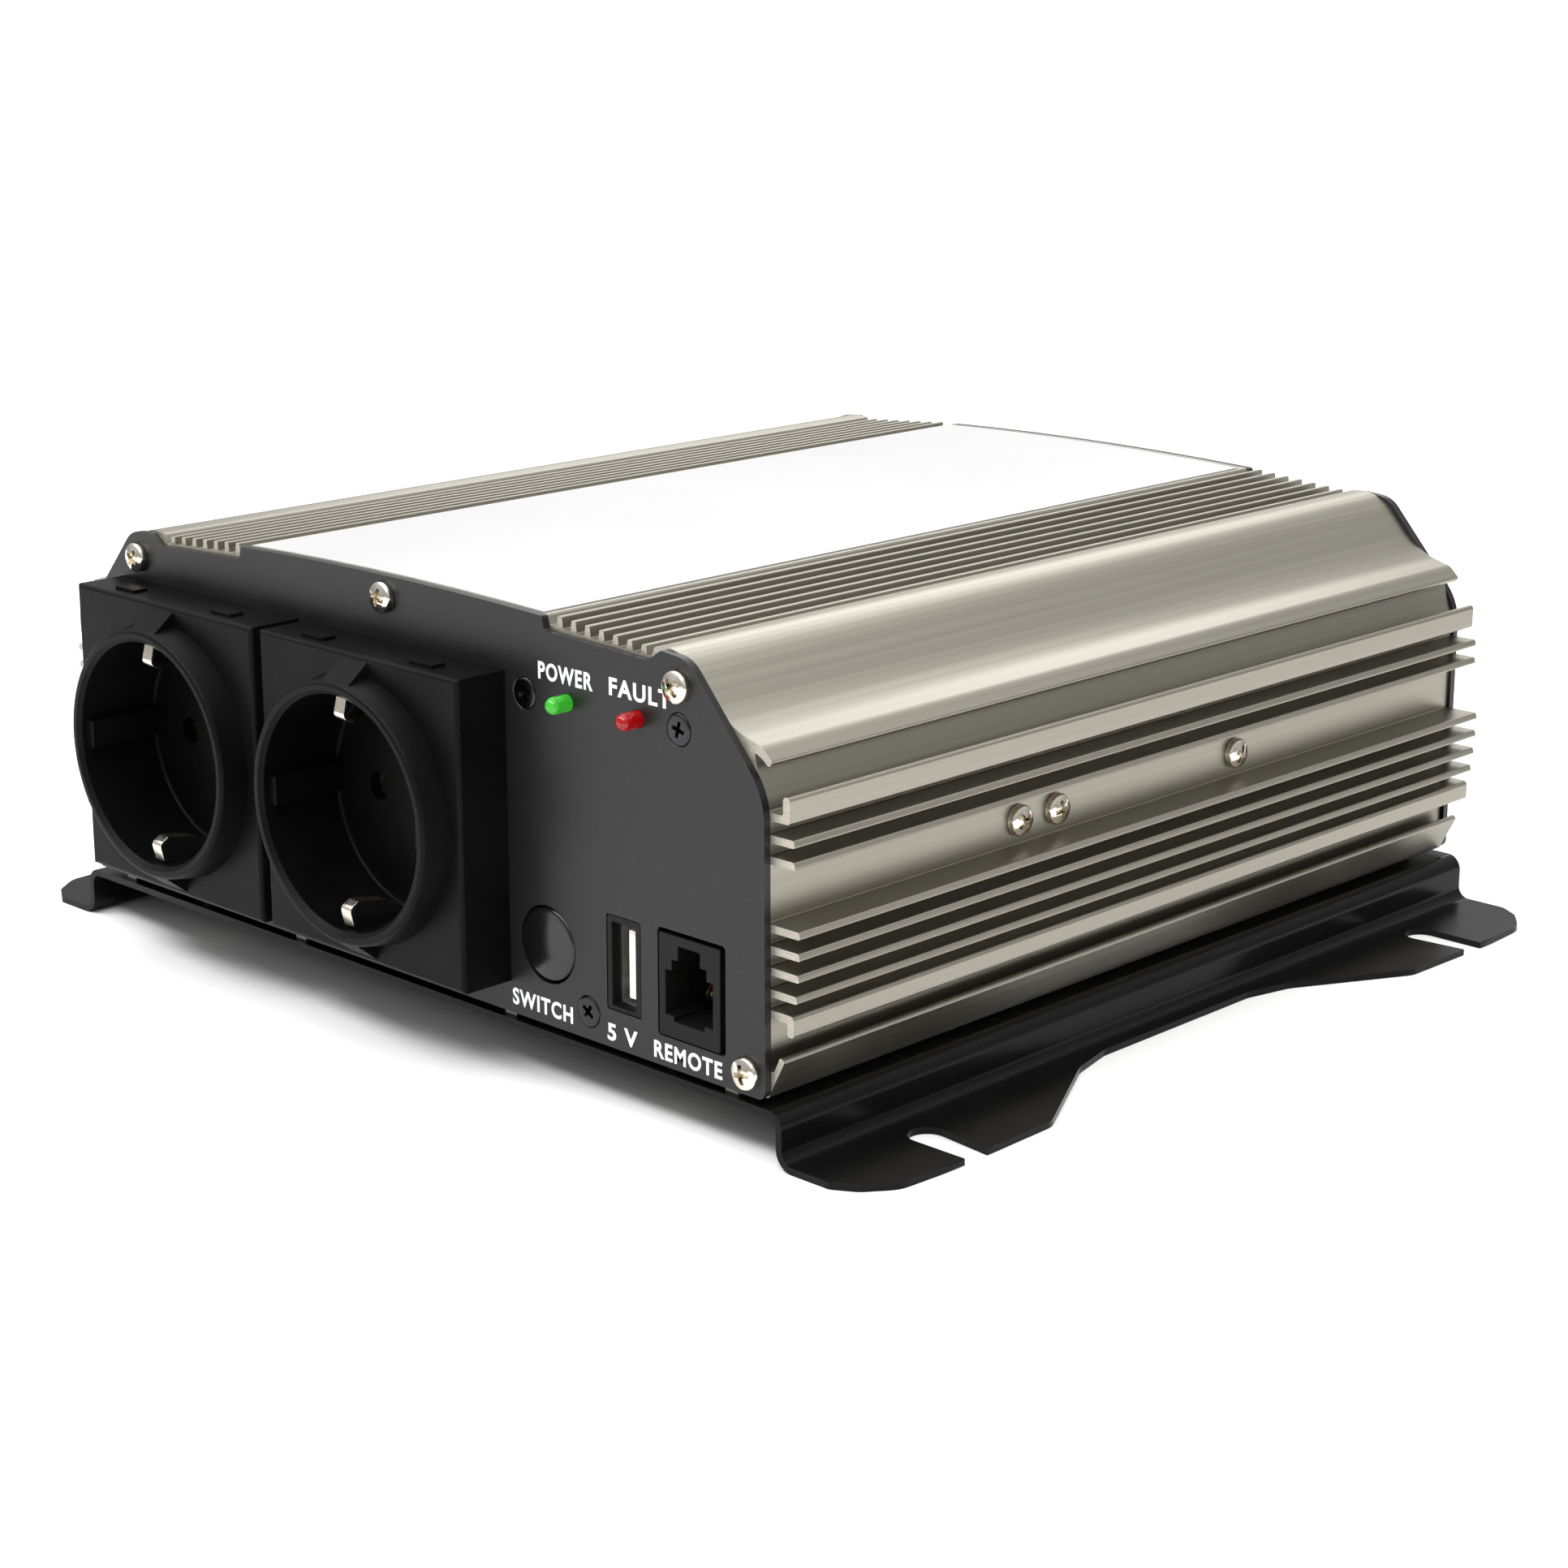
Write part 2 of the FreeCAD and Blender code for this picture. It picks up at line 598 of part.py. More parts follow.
def socket_housing():
    """One socket outlet with its well, pin holes and the slots that its earth clips run through."""
    cuts = [socket_well()]
    slot_half = CLIP_HALF + 0.5
    for side in (-1, 1):
        pin_x = side * PIN_SPACING / 2
        cuts.append(rod(pin_x, SOCKET_Z, PIN_HOLE_R, WELL_FLOOR - 1, SOCKET_BACK + 1))
        cuts.append(rod(pin_x, SOCKET_Z, TUBE_R, WELL_FLOOR + 2.5, SOCKET_BACK + 1))
        slot = box(-slot_half, slot_half, WELL_FLOOR - 1, SOCKET_BACK + 1, *CLIP_SLOT)
        cuts.append(placed(slot, 0, 0, SOCKET_Z, 0 if side > 0 else 180, AXIS_Y))
    return socket_front().cut(Part.makeCompound(cuts))


def earth_clip(upward):
    """A sprung strip: its free end at the mouth, a nose that meets the plug, and a tail through the floor."""
    band = strip(CLIP_PATH, 0.7, 0.5)
    return bar([(y, SOCKET_Z + upward * reach, r) for y, reach, r in band], -CLIP_HALF, CLIP_HALF)


def contact_tube(side):
    x = side * PIN_SPACING / 2
    outer = rod(x, SOCKET_Z, TUBE_R - 0.02, WELL_FLOOR + 2.5, SOCKET_BACK + 2)
    return outer.cut(rod(x, SOCKET_Z, 2.45, WELL_FLOOR, SOCKET_BACK + 1))


def save_sockets():
    housing = socket_housing()
    clips = [earth_clip(1), earth_clip(-1)]
    tubes = [contact_tube(-1), contact_tube(1)]
    for name, x in zip(SOCKET_NAMES, SOCKET_X):
        save(name + "_socket_housing", placed(housing, x, 0, 0))
        save(name + "_earth_clips", *[placed(clip, x, 0, 0) for clip in clips])
        save(name + "_contact_tubes", *[placed(tube, x, 0, 0) for tube in tubes])


# ---- controls ------------------------------------------------------------------------------
def power_button():
    """A domed cap with a skirt and the stem that slides in the switch."""
    dome = [(0, -0.5), (BUTTON_R * 0.75, -0.45, 8.0), (BUTTON_R, 0.3, 0.7),
            (BUTTON_R, BUTTON_BACK), (0, BUTTON_BACK)]
    stem = rod(BUTTON_X, BUTTON_Z, STEM_R, BUTTON_BACK - 1, BOARD_Y - BUTTON_TRAVEL - 0.4)
    return fused([turned(BUTTON_X, BUTTON_Z, dome), stem])


def switch_body():
    low_x = BUTTON_X - SWITCH_HALF
    low_z = BUTTON_Z - SWITCH_HALF
    square = rect(low_x, low_x + 2 * SWITCH_HALF, low_z, low_z + 2 * SWITCH_HALF, 1.0)
    bore = rod(BUTTON_X, BUTTON_Z, STEM_R + FIT, SWITCH_FRONT - 1, BOARD_Y - 0.2)
    pocket = rod(BUTTON_X, BUTTON_Z, SPRING_R + 1.0, SWITCH_FRONT - 1, SWITCH_POCKET)
    return slab(square, SWITCH_FRONT, BOARD_Y).cut(bore).cut(pocket)


def button_spring():
    """A coil spring round the stem, from the cap's back to the pocket's floor."""
    length = SWITCH_POCKET - BUTTON_BACK - 2 * SPRING_WIRE_R - 0.02
    coil = Part.makeHelix(1.3, length, SPRING_R)
    section = Part.Wire(Part.makeCircle(SPRING_WIRE_R, V(SPRING_R, 0, 0), AXIS_Y))
    spring = Part.Wire(coil).makePipeShell([section], True, True)
    spring.rotate(V(0, 0, 0), AXIS_X, -90)
    spring.translate(V(BUTTON_X, BUTTON_BACK + SPRING_WIRE_R + 0.01, BUTTON_Z))
    return spring


def led(x, z):
    """A round lamp with a domed tip and a flange behind the panel."""
    seat = PANEL_T + 0.02
    back = PANEL_T + 1.1
    flange_r = LED_R + 0.4
    profile = [(0, LED_FRONT), (LED_R, LED_FRONT, LED_R * 0.98), (LED_R, seat), (flange_r, seat),
               (flange_r, back), (0, back)]
    return turned(x, z, profile)


def lead_spots():
    """Both leads of each lamp, in X and Z."""
    return [(x + dx, z) for x, z in LED_SPOTS.values() for dx in (-1.0, 1.0)]


def led_leads():
    return [rod(x, z, LEAD_R, PANEL_T + 1.1, BOARD_Y + BOARD_T + 0.8) for x, z in lead_spots()]


def charge_port_collar():
    x0, x1, z0, z1 = PORT_BOX
    a0, a1, b0, b1 = PORT_MOUTH
    collar = slab(rect(x0, x1, z0, z1, 0.5), 0.05, BOARD_Y)
    return collar.cut(slab(rect(a0, a1, b0, b1, 0.3), -1, BOARD_Y - 1))


def charge_port_shell():
    a0, a1, b0, b1 = [v + d for v, d in zip(PORT_MOUTH, (0.05, -0.05, 0.05, -0.05))]
    shell = slab(rect(a0, a1, b0, b1, 0.25), 2.2, BOARD_Y - 1)
    return shell.cut(slab(rect(a0 + 0.3, a1 - 0.3, b0 + 0.3, b1 - 0.3, 0.1), 0, BOARD_Y - 1.4))


def charge_port_tongue():
    a0, a1, b0, b1 = PORT_MOUTH
    return slab(rect(a1 - 3.1, a1 - 0.6, b0 + 1.6, b1 - 1.2, 0.2), 1.6, BOARD_Y - 1.4)


def charge_port_contacts():
    """Four flat strips on the tongue's face."""
    a1 = PORT_MOUTH[1]
    middle = (PORT_MOUTH[2] + PORT_MOUTH[3]) / 2
    strips = []
    for offset in (-3.5, -1.0, 1.0, 3.5):
        z = middle + 0.2 + offset
        strips.append(box(a1 - 3.35, a1 - 3.1, 2.0, BOARD_Y - 1.4, z - 0.5, z + 0.5))
    return strips


def remote_jack_body():
    """A square jack with the stepped mouth of a latched plug."""
    steps = [(3.6, 8.4), (3.6, 9.3), (5.6, 9.3), (5.6, 17.2),
             (4.1, 17.2), (4.1, 19.2), (2.6, 19.2), (2.6, 21.8)]
    right = [(JACK_X + x, z) for x, z in steps]
    left = [(JACK_X - x, z) for x, z in reversed(steps)]
    return slab(rect(*JACK_BOX, 0.3), 0.1, BOARD_Y).cut(slab(right + left, -1, JACK_FLOOR))


def remote_jack_contacts():
    """Six sprung wires that rise through the jack's hollow."""
    back = JACK_FLOOR - 0.2
    path = [(back, 9.9), (6.4, 11.6), (back, 15.3)]
    middles = [JACK_X + (i - 2.5) * CONTACT_PITCH for i in range(6)]
    return [bar(strip(path, CONTACT_T, 0.6), x - CONTACT_T / 2, x + CONTACT_T / 2) for x in middles]


def control_board():
    corners = [(34.0, 3.6), (86.4, 3.6), (86.4, 55.0), (79.0, 61.6), (34.0, 61.6)]
    board = slab(corners, BOARD_Y, BOARD_Y + BOARD_T)
    holes = [rod(x, z, CLEAR_R, BOARD_Y - 1, BOARD_Y + 5) for x, z in BOARD_SCREWS]
    holes += [rod(x, z, LEAD_R + 0.1, BOARD_Y - 1, BOARD_Y + 5) for x, z in lead_spots()]
    return board.cut(Part.makeCompound(holes))


def board_post(x, z):
    post = rod(x, z, 2.7, PANEL_T, BOARD_Y)
    return post.cut(rod(x, z, THREAD_R, PANEL_T - 1, BOARD_Y + 1))


def board_screw():
    """A countersunk screw with a cross recess, flush with the panel."""
    body = [(0, -0.15), (2.75, -0.15, 0.2), (2.75, 0.05), (SHANK_R, 1.25), (SHANK_R, 7.0), (0, 7.0)]
    return turned(0, 0, body).cut(cross_cut(1.6, 0.7, -1, 0.8))


def save_controls():
    save("power_button", power_button())
    save("switch_body", switch_body())
    save("button_spring", button_spring())
    for name, (x, z) in LED_SPOTS.items():
        save(name, led(x, z))
    save("led_leads", *led_leads())
    save("charge_port_collar", charge_port_collar())
    save("charge_port_shell", charge_port_shell())
    save("charge_port_tongue", charge_port_tongue())
    save("charge_port_contacts", *charge_port_contacts())
    save("remote_jack_body", remote_jack_body())
    save("remote_jack_contacts", *remote_jack_contacts())
    save("control_board", control_board())
    save("control_board_posts", *[board_post(x, z) for x, z in BOARD_SCREWS])
    save("control_board_screws", *spun_screws(board_screw(), BOARD_SCREWS, 0))


# ---- inside --------------------------------------------------------------------------------
def transformer_core(y):
    """A pair of E-shaped ferrites round the winding's middle."""
    low = BOARD_TOP + CORE_LIFT
    half = CORE.x / 2
    y0 = y - CORE.y / 2
    y1 = y + CORE.y / 2
    frame = box(-half, half, y0, y1, low, low + CORE.z)
    window = box(CORE_MIDDLE_LEG / 2, half - CORE_LEG, y0 - 1, y1 + 1,
                 low + CORE_YOKE, low + CORE.z - CORE_YOKE)
    return frame.cut(Part.makeCompound([window, mirrored(window)]))


def transformer_winding(y):
    """The coil on its bobbin, round the core's middle leg."""
    low = BOARD_TOP + CORE_LIFT + CORE_YOKE + 0.2
    high = BOARD_TOP + CORE_LIFT + CORE.z - CORE_YOKE - 0.2
    half = CORE.x / 2 - CORE_LEG - 0.3
    leg = CORE_MIDDLE_LEG / 2 + 0.2
    block = box(-half, half, y - COIL_HALF_Y, y + COIL_HALF_Y, low, high)
    coil = block.makeFillet(5.0, [edge for edge in block.Edges if edge.BoundBox.ZLength > 25])
    return coil.cut(box(-leg, leg, y - CORE.y / 2 - 0.2, y + CORE.y / 2 + 0.2, low - 1, high + 1))


def transformer_foot(y):
    half = CORE.x / 2 - 2
    return box(-half, half, y - 8, y + 8, BOARD_TOP, BOARD_TOP + CORE_LIFT)


def capacitor(x, y, r, height):
    """A can with a crimped groove near its foot."""
    groove = [(r, 2.4, 0.3), (r - 0.35, 3.0, 0.3), (r, 3.6, 0.3)]
    can = turned(0, 0, [(0, 0), (r, 0, 0.5)] + groove + [(r, height, 0.8), (0, height)])
    return placed(can, x, y, BOARD_TOP, 90, AXIS_X)


def choke_core():
    return Part.makeTorus(CHOKE_R, CHOKE_CORE_R, CHOKE, AXIS_Z)


def choke_turns():
    """Separate wire turns round the choke's ring."""
    loop = placed(Part.makeTorus(CHOKE_CORE_R + 1.0, 0.55, V(0, 0, 0), AXIS_Y), CHOKE_R, 0, 0)
    return [placed(loop, *CHOKE, i * 360.0 / CHOKE_TURNS) for i in range(CHOKE_TURNS)]


def transistor(y):
    """A flat power transistor that stands against the right wall on three legs."""
    body = box(CLAMP_X, CLAMP_X + TRANSISTOR_T, y - 5, y + 5, TRANSISTOR_LOW_Z, TRANSISTOR_LOW_Z + 17.0)
    legs = [box(CLAMP_X + 0.8, CLAMP_X + 1.5, y + step - 0.4, y + step + 0.4, BOARD_TOP, TRANSISTOR_LOW_Z)
            for step in (-LEG_PITCH, 0, LEG_PITCH)]
    return fused([body] + legs)


def side_screw_holes(r):
    """Cutters for the right wall's side screws."""
    return Part.makeCompound([rod_x(CLAMP_X - 6, WALL_X, y, SIDE_SCREW_Z, r) for y in SIDE_SCREWS_Y])


def clamp_bar(y0, y1):
    """The steel bar that presses a row of transistors against the wall."""
    blank = box(CLAMP_X - 2.6, CLAMP_X, y0, y1, SIDE_SCREW_Z - 5, SIDE_SCREW_Z + 5)
    return blank.cut(side_screw_holes(THREAD_R))


def insulating_pad(y0, y1):
    return box(INSIDE_X - PAD_T, INSIDE_X, y0, y1, 23.0, 42.5).cut(side_screw_holes(CLEAR_R))


def blade_fuse(x):
    """A flat fuse on two blades."""
    seat = BOARD_TOP + 4
    body = box(x - 9.5, x + 9.5, FUSE_Y - 2.5, FUSE_Y + 2.5, seat, seat + 13)
    blades = [box(middle - 2.6, middle + 2.6, FUSE_Y - 0.4, FUSE_Y + 0.4, BOARD_TOP, seat)
              for middle in (x - 6, x + 6)]
    return fused([body] + blades)


def main_board():
    half = INSIDE_X - 0.2
    return box(-half, half, *MAIN_BOARD_Y, MAIN_BOARD_Z, BOARD_TOP)


def save_inside():
    save("main_board", main_board())
    save("transformer_cores", *[transformer_core(y) for y in TRANSFORMER_Y])
    save("transformer_windings", *[transformer_winding(y) for y in TRANSFORMER_Y])
    save("transformer_feet", *[transformer_foot(y) for y in TRANSFORMER_Y])
    save("bus_capacitors", *[capacitor(x, y, 12.5, 40) for x, y in BUS_CAPACITORS])
    save("input_capacitors", *[capacitor(x, y, 6.4, 25) for x, y in INPUT_CAPACITORS])
    save("choke_core", choke_core())
    save("choke_turns", *choke_turns())
    save("blade_fuses", *[blade_fuse(x) for x in FUSE_X])
    bars = [clamp_bar(*span) for span in CLAMP_SPANS]
    pads = [insulating_pad(*span) for span in CLAMP_SPANS]
    transistors = [transistor(y) for y in TRANSISTOR_Y]
    save("right_transistors", *transistors)
    save("left_transistors", *[mirrored(shape) for shape in transistors])
    save("right_clamp_bars", *bars)
    save("left_clamp_bars", *[mirrored(shape) for shape in bars])
    save("insulating_pads", *(pads + [mirrored(shape) for shape in pads]))


# ---- rear ----------------------------------------------------------------------------------
def fan_corners():
    half = FAN_HOLE_PITCH / 2
    return [(FAN_X + dx, FAN_Z + dz) for dx in (-half, half) for dz in (-half, half)]


def fan_frame():
    """A square duct with a round bore and a motor seat on three struts at its rear."""
    y0 = CASE_BACK - FAN_DEPTH
    half = FAN_SIZE / 2
    duct = slab(rect(FAN_X - half, FAN_X + half, FAN_Z - half, FAN_Z + half, 3.0), y0, CASE_BACK)
    duct = duct.cut(rod(FAN_X, FAN_Z, FAN_BORE_R, y0 - 1, CASE_BACK + 1))
    seat = rod(FAN_X, FAN_Z, FAN_HUB_R - 0.5, CASE_BACK - 3.0, CASE_BACK - 0.2)
    sleeve = rod(FAN_X, FAN_Z, 3.2, CASE_BACK - 9.0, CASE_BACK - 3.0)
    strut = box(0, FAN_BORE_R + 0.8, CASE_BACK - 2.8, CASE_BACK - 0.4, -1.4, 1.4)
    struts = [placed(strut, FAN_X, 0, FAN_Z, 30 + 120 * i, AXIS_Y) for i in range(3)]
    holes = [rod(x, z, THREAD_R, y0 - 1, CASE_BACK + 1) for x, z in fan_corners()]
    holes.append(rod(FAN_X, FAN_Z, FAN_SHAFT_R + FIT, CASE_BACK - 10, CASE_BACK - 1.0))
    return fused([duct, seat, sleeve] + struts).cut(Part.makeCompound(holes))


def fan_blade():
    """One blade, lofted from a steep root to a flatter tip."""
    sections = []
    for radius, tilt, chord in ((FAN_HUB_R - 0.6, 52, 9.0), (FAN_BLADE_R, 34, 11.5)):
        corners = [(-chord / 2, -0.55), (chord / 2, -0.55), (chord / 2, 0.55), (-chord / 2, 0.55)]
        wire = outline(corners, "yz")
        wire.rotate(V(0, 0, 0), AXIS_X, tilt)
        wire.translate(V(radius, CASE_BACK - 9.0, 0))
        sections.append(wire)
    return Part.makeLoft(sections, True, True)


def fan_rotor():
    """Hub cup, blades and the shaft that turns in the frame's sleeve."""
    front = CASE_BACK - FAN_DEPTH + 0.8
    back = CASE_BACK - 3.6
    inner_r = FAN_HUB_R - 1.5
    cup = turned(0, 0, [(0, front), (FAN_HUB_R, front, 1.2), (FAN_HUB_R, back), (inner_r, back),
                        (inner_r, front + 2.0), (0, front + 2.0)])
    shaft = rod(0, 0, FAN_SHAFT_R, front + 1, CASE_BACK - 1.6)
    limit = rod(0, 0, FAN_BLADE_R, front, back)
    blade = fan_blade().common(limit)
    blades = [placed(blade, 0, 0, 0, i * 360.0 / FAN_BLADES, AXIS_Y) for i in range(FAN_BLADES)]
    return placed(fused([cup, shaft] + blades), FAN_X, 0, FAN_Z)


def guard_ring(r):
    """One flat ring of the guard."""
    inner = r - GUARD_T / 2
    outer = r + GUARD_T / 2
    back = CASE_END + GUARD_T
    return turned(FAN_X, FAN_Z, [(inner, CASE_END), (outer, CASE_END), (outer, back), (inner, back)])


def fan_guard():
    """Rings on four radial bars that end in screw eyes."""
    back = CASE_END + GUARD_T
    reach = FAN_HOLE_PITCH / 2 * math.sqrt(2) - 2.5
    spoke = box(6.6, reach, CASE_END + 0.1, back - 0.1, -GUARD_T / 2, GUARD_T / 2)
    spokes = [placed(spoke, FAN_X, 0, FAN_Z, 45 + 90 * i, AXIS_Y) for i in range(4)]
    eyes = [rod(x, z, EYE_R, CASE_END, back) for x, z in fan_corners()]
    holes = [rod(x, z, CLEAR_R, CASE_END - 1, back + 1) for x, z in fan_corners()]
    return fused([guard_ring(r) for r in GUARD_RINGS_R] + spokes + eyes).cut(Part.makeCompound(holes))


def stud(x):
    """A threaded stud with its nut inside the panel."""
    end = REAR_REACH - 1.0
    front = CASE_BACK - 8
    shaft = turned(0, 0, [(0, front), (STUD_R, front), (STUD_R, end - 1), (STUD_R - 1, end), (0, end)])
    return placed(fused([shaft, slab(hexagon(5.8), CASE_BACK - 6.0, CASE_BACK - 2.0)]), x, 0, STUD_Z)


def insulator(x):
    """A flanged collar that keeps the stud off the panel."""
    front = CASE_BACK - 2.0
    back = CASE_END + INSULATOR_H
    bore = STUD_R + 0.02
    collar_r = STUD_R + COLLAR_T
    return turned(x, STUD_Z, [(bore, front), (collar_r, front), (collar_r, CASE_END), (10.0, CASE_END),
                              (10.0, back - 2.0, 1.0), (7.0, back), (bore, back)])


def washer(x):
    y0 = CASE_END + INSULATOR_H
    ring = rod(x, STUD_Z, 6.4, y0 + 0.02, y0 + WASHER_T - 0.02)
    return ring.cut(rod(x, STUD_Z, STUD_R + FIT, y0 - 1, y0 + 3))


def knob(x):
    """A fluted cap nut with a blind thread."""
    front = CASE_END + INSULATOR_H + WASHER_T
    neck_r = KNOB_R - 1.2
    body = turned(0, 0, [(0, front), (neck_r, front), (neck_r, front + 2.0), (KNOB_R, front + 2.6, 0.4),
                         (KNOB_R, front + KNOB_H, 1.5), (0, front + KNOB_H)])
    flute = rod(KNOB_R + 0.7, 0, 1.3, front + 1, REAR_REACH + 1)
    flutes = [placed(flute, 0, 0, 0, 360.0 / KNOB_FLUTES * i, AXIS_Y) for i in range(KNOB_FLUTES)]
    bore = rod(0, 0, STUD_R + FIT, front - 1, REAR_REACH - 0.8)
    return placed(body.cut(Part.makeCompound(flutes + [bore])), x, 0, STUD_Z)


def ground_screw():
    """A hexagon-headed bolt for the chassis earth."""
    head = slab(hexagon(4.0), CASE_END + 1.0, CASE_END + 4.0)
    flange = rod(0, 0, 4.8, CASE_END, CASE_END + 1.0)
    shank = rod(0, 0, GROUND_R, CASE_BACK - 6.0, CASE_END)
    return placed(fused([head, flange, shank]), GROUND_X, 0, GROUND_Z_POS)


def save_rear():
    save("fan_frame", fan_frame())
    save("fan_rotor", fan_rotor())
    save("fan_guard", fan_guard())
    fan_screw = placed(screw(9.0), 0, 0, 0, 180)
    save("fan_screws", *spun_screws(fan_screw, fan_corners(), CASE_END + GUARD_T))
    for name, x in STUD_X.items():
        save(name + "_stud", stud(x))
        save(name + "_insulator", insulator(x))
        save(name + "_washer", washer(x))
        save(name + "_knob", knob(x))
    save("ground_screw", ground_screw())


os.makedirs("parts", exist_ok=True)
save_case()
save_sockets()
save_controls()
save_inside()
save_rear()
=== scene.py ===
import json
import math

import bmesh
import bpy
from mathutils import Matrix, Vector


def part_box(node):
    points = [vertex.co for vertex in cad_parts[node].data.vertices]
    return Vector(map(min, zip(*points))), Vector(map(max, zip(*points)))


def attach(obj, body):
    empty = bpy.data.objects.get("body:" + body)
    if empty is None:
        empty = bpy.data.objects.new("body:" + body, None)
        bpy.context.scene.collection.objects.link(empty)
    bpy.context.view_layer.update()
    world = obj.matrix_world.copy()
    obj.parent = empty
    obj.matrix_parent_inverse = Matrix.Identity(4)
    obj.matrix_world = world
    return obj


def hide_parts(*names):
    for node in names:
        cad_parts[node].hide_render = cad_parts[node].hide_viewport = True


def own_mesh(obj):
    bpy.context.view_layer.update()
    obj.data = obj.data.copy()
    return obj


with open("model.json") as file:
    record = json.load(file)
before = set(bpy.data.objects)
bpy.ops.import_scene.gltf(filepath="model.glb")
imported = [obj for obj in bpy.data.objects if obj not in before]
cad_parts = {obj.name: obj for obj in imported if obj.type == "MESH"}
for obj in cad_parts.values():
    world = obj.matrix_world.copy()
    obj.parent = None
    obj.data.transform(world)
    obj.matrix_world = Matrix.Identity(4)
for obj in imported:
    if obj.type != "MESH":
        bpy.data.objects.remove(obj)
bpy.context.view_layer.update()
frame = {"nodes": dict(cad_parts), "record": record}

MM = 0.001
NODES = frame["nodes"]
BEHAVIOUR = frame["record"]["behaviour"]
SLOT_OF = {row["node"]: row["material_slot"] for row in frame["record"]["subparts"]}
BODY_OF = {node: body for body, members in BEHAVIOUR["bodies"].items() for node in members}
FRONT = (0, -1, 0)
REAR = (0, 1, 0)
DOWN = (0, 0, -1)


# ---- shader helpers ------------------------------------------------------------------------
EDGE = "rounded_edge"          # the mesh attribute that marks the faces of rounded edges
EDGE_POLISH = 0.25             # roughness of a painted edge, as a share of the flat paint's


class Shader:
    """A material under construction: one principled shader and short calls that feed it.

    Noise scales are in cycles per metre, and bump distances are in metres.
    """

    def __init__(self, name, **constants):
        self.material = bpy.data.materials.new(name)
        self.material.use_nodes = True
        self.tree = self.material.node_tree
        self.bsdf = self.tree.nodes["Principled BSDF"]
        for key, value in constants.items():
            self.bsdf.inputs[key.replace("_", " ")].default_value = value
        self.place = self.add("ShaderNodeTexCoord").outputs["Object"]

    def add(self, kind, inputs=None, **settings):
        """A node of this kind, with each input linked to a socket or set to a constant."""
        node = self.tree.nodes.new(kind)
        for key, value in settings.items():
            setattr(node, key, value)
        for key, value in (inputs or {}).items():
            if isinstance(value, bpy.types.NodeSocket):
                self.tree.links.new(value, node.inputs[key])
            else:
                node.inputs[key].default_value = value
        return node

    def link(self, source, key):
        self.tree.links.new(source, self.bsdf.inputs[key])

    def scaled(self, x, y, z):
        """The object's own coordinates, stretched by x, y and z."""
        return self.add("ShaderNodeMapping", {"Vector": self.place, "Scale": (x, y, z)}).outputs[0]

    def noise(self, scale, detail=3.0, rough=0.55, vector=None):
        inputs = {"Vector": vector or self.place, "Scale": scale, "Detail": detail, "Roughness": rough}
        return self.add("ShaderNodeTexNoise", inputs).outputs["Fac"]

    def remap(self, value, low, high, to_low, to_high):
        inputs = {0: value, 1: low, 2: high, 3: to_low, 4: to_high}
        return self.add("ShaderNodeMapRange", inputs, clamp=True).outputs[0]

    def spread(self, value, low=0.3, high=0.7):
        """The middle band of a noise, stretched to 0 to 1."""
        return self.remap(value, low, high, 0.0, 1.0)

    def math(self, operation, a, b=0.0):
        return self.add("ShaderNodeMath", {0: a, 1: b}, operation=operation).outputs[0]

    def mix(self, factor, a, b):
        return self.add("ShaderNodeMix", {0: factor, 6: a, 7: b}, data_type="RGBA").outputs[2]

    def bump(self, height, distance, strength=1.0, before=None):
        inputs = {"Height": height, "Distance": distance, "Strength": strength}
        if before:
            inputs["Normal"] = before
        return self.add("ShaderNodeBump", inputs).outputs[0]

    def facing(self, axis):
        """How squarely the surface faces along the part's own axis, 0 to 1."""
        normal = self.add("ShaderNodeTexCoord").outputs["Normal"]
        parts = self.add("ShaderNodeSeparateXYZ", {0: normal})
        return self.math("ABSOLUTE", parts.outputs[axis])

    def edge(self):
        """1 on the rounded edges of a piece, 0 elsewhere."""
        return self.add("ShaderNodeAttribute", attribute_name=EDGE).outputs["Fac"]


def grey(value, tint=(1.0, 1.0, 1.0)):
    return (value * tint[0], value * tint[1], value * tint[2], 1.0)


def darker(colour, share):
    return tuple(channel * share for channel in colour[:3]) + (1.0,)


# ---- materials -----------------------------------------------------------------------------
def casing_material():
    """Satin anodised aluminium: long drawing lines, paler rough saw-cut ends."""
    s = Shader("casing_anodised", Metallic=1.0, IOR=1.45)
    lines = s.noise(1.0, 4.0, 0.6, s.scaled(2600, 6, 2600))
    broad = s.noise(1.0, 2.0, 0.5, s.scaled(420, 2.5, 420))
    grit = s.noise(5200, 2.0)
    face = s.mix(s.spread(lines), (0.30, 0.285, 0.240, 1), (0.36, 0.343, 0.290, 1))
    face = s.mix(s.remap(broad, 0.35, 0.65, 0.0, 0.25), face, (0.25, 0.236, 0.198, 1))
    end = s.spread(s.facing("Y"), 0.75, 0.9)
    saw = s.noise(1.0, 3.0, 0.6, s.scaled(500, 500, 9000))
    cut = s.mix(s.spread(saw), (0.42, 0.39, 0.33, 1), (0.62, 0.59, 0.52, 1))
    s.link(s.mix(end, face, cut), "Base Color")
    drawn = s.remap(lines, 0.2, 0.8, 0.33, 0.44)
    s.link(s.math("ADD", drawn, s.math("MULTIPLY", end, 0.16)), "Roughness")
    height = s.math("ADD", s.math("MULTIPLY", lines, 0.7), s.math("MULTIPLY", grit, 0.3))
    surface = s.bump(height, 0.000014, 0.4)
    s.link(s.bump(s.math("MULTIPLY", saw, end), 0.00012, 0.6, surface), "Normal")
    return s.material


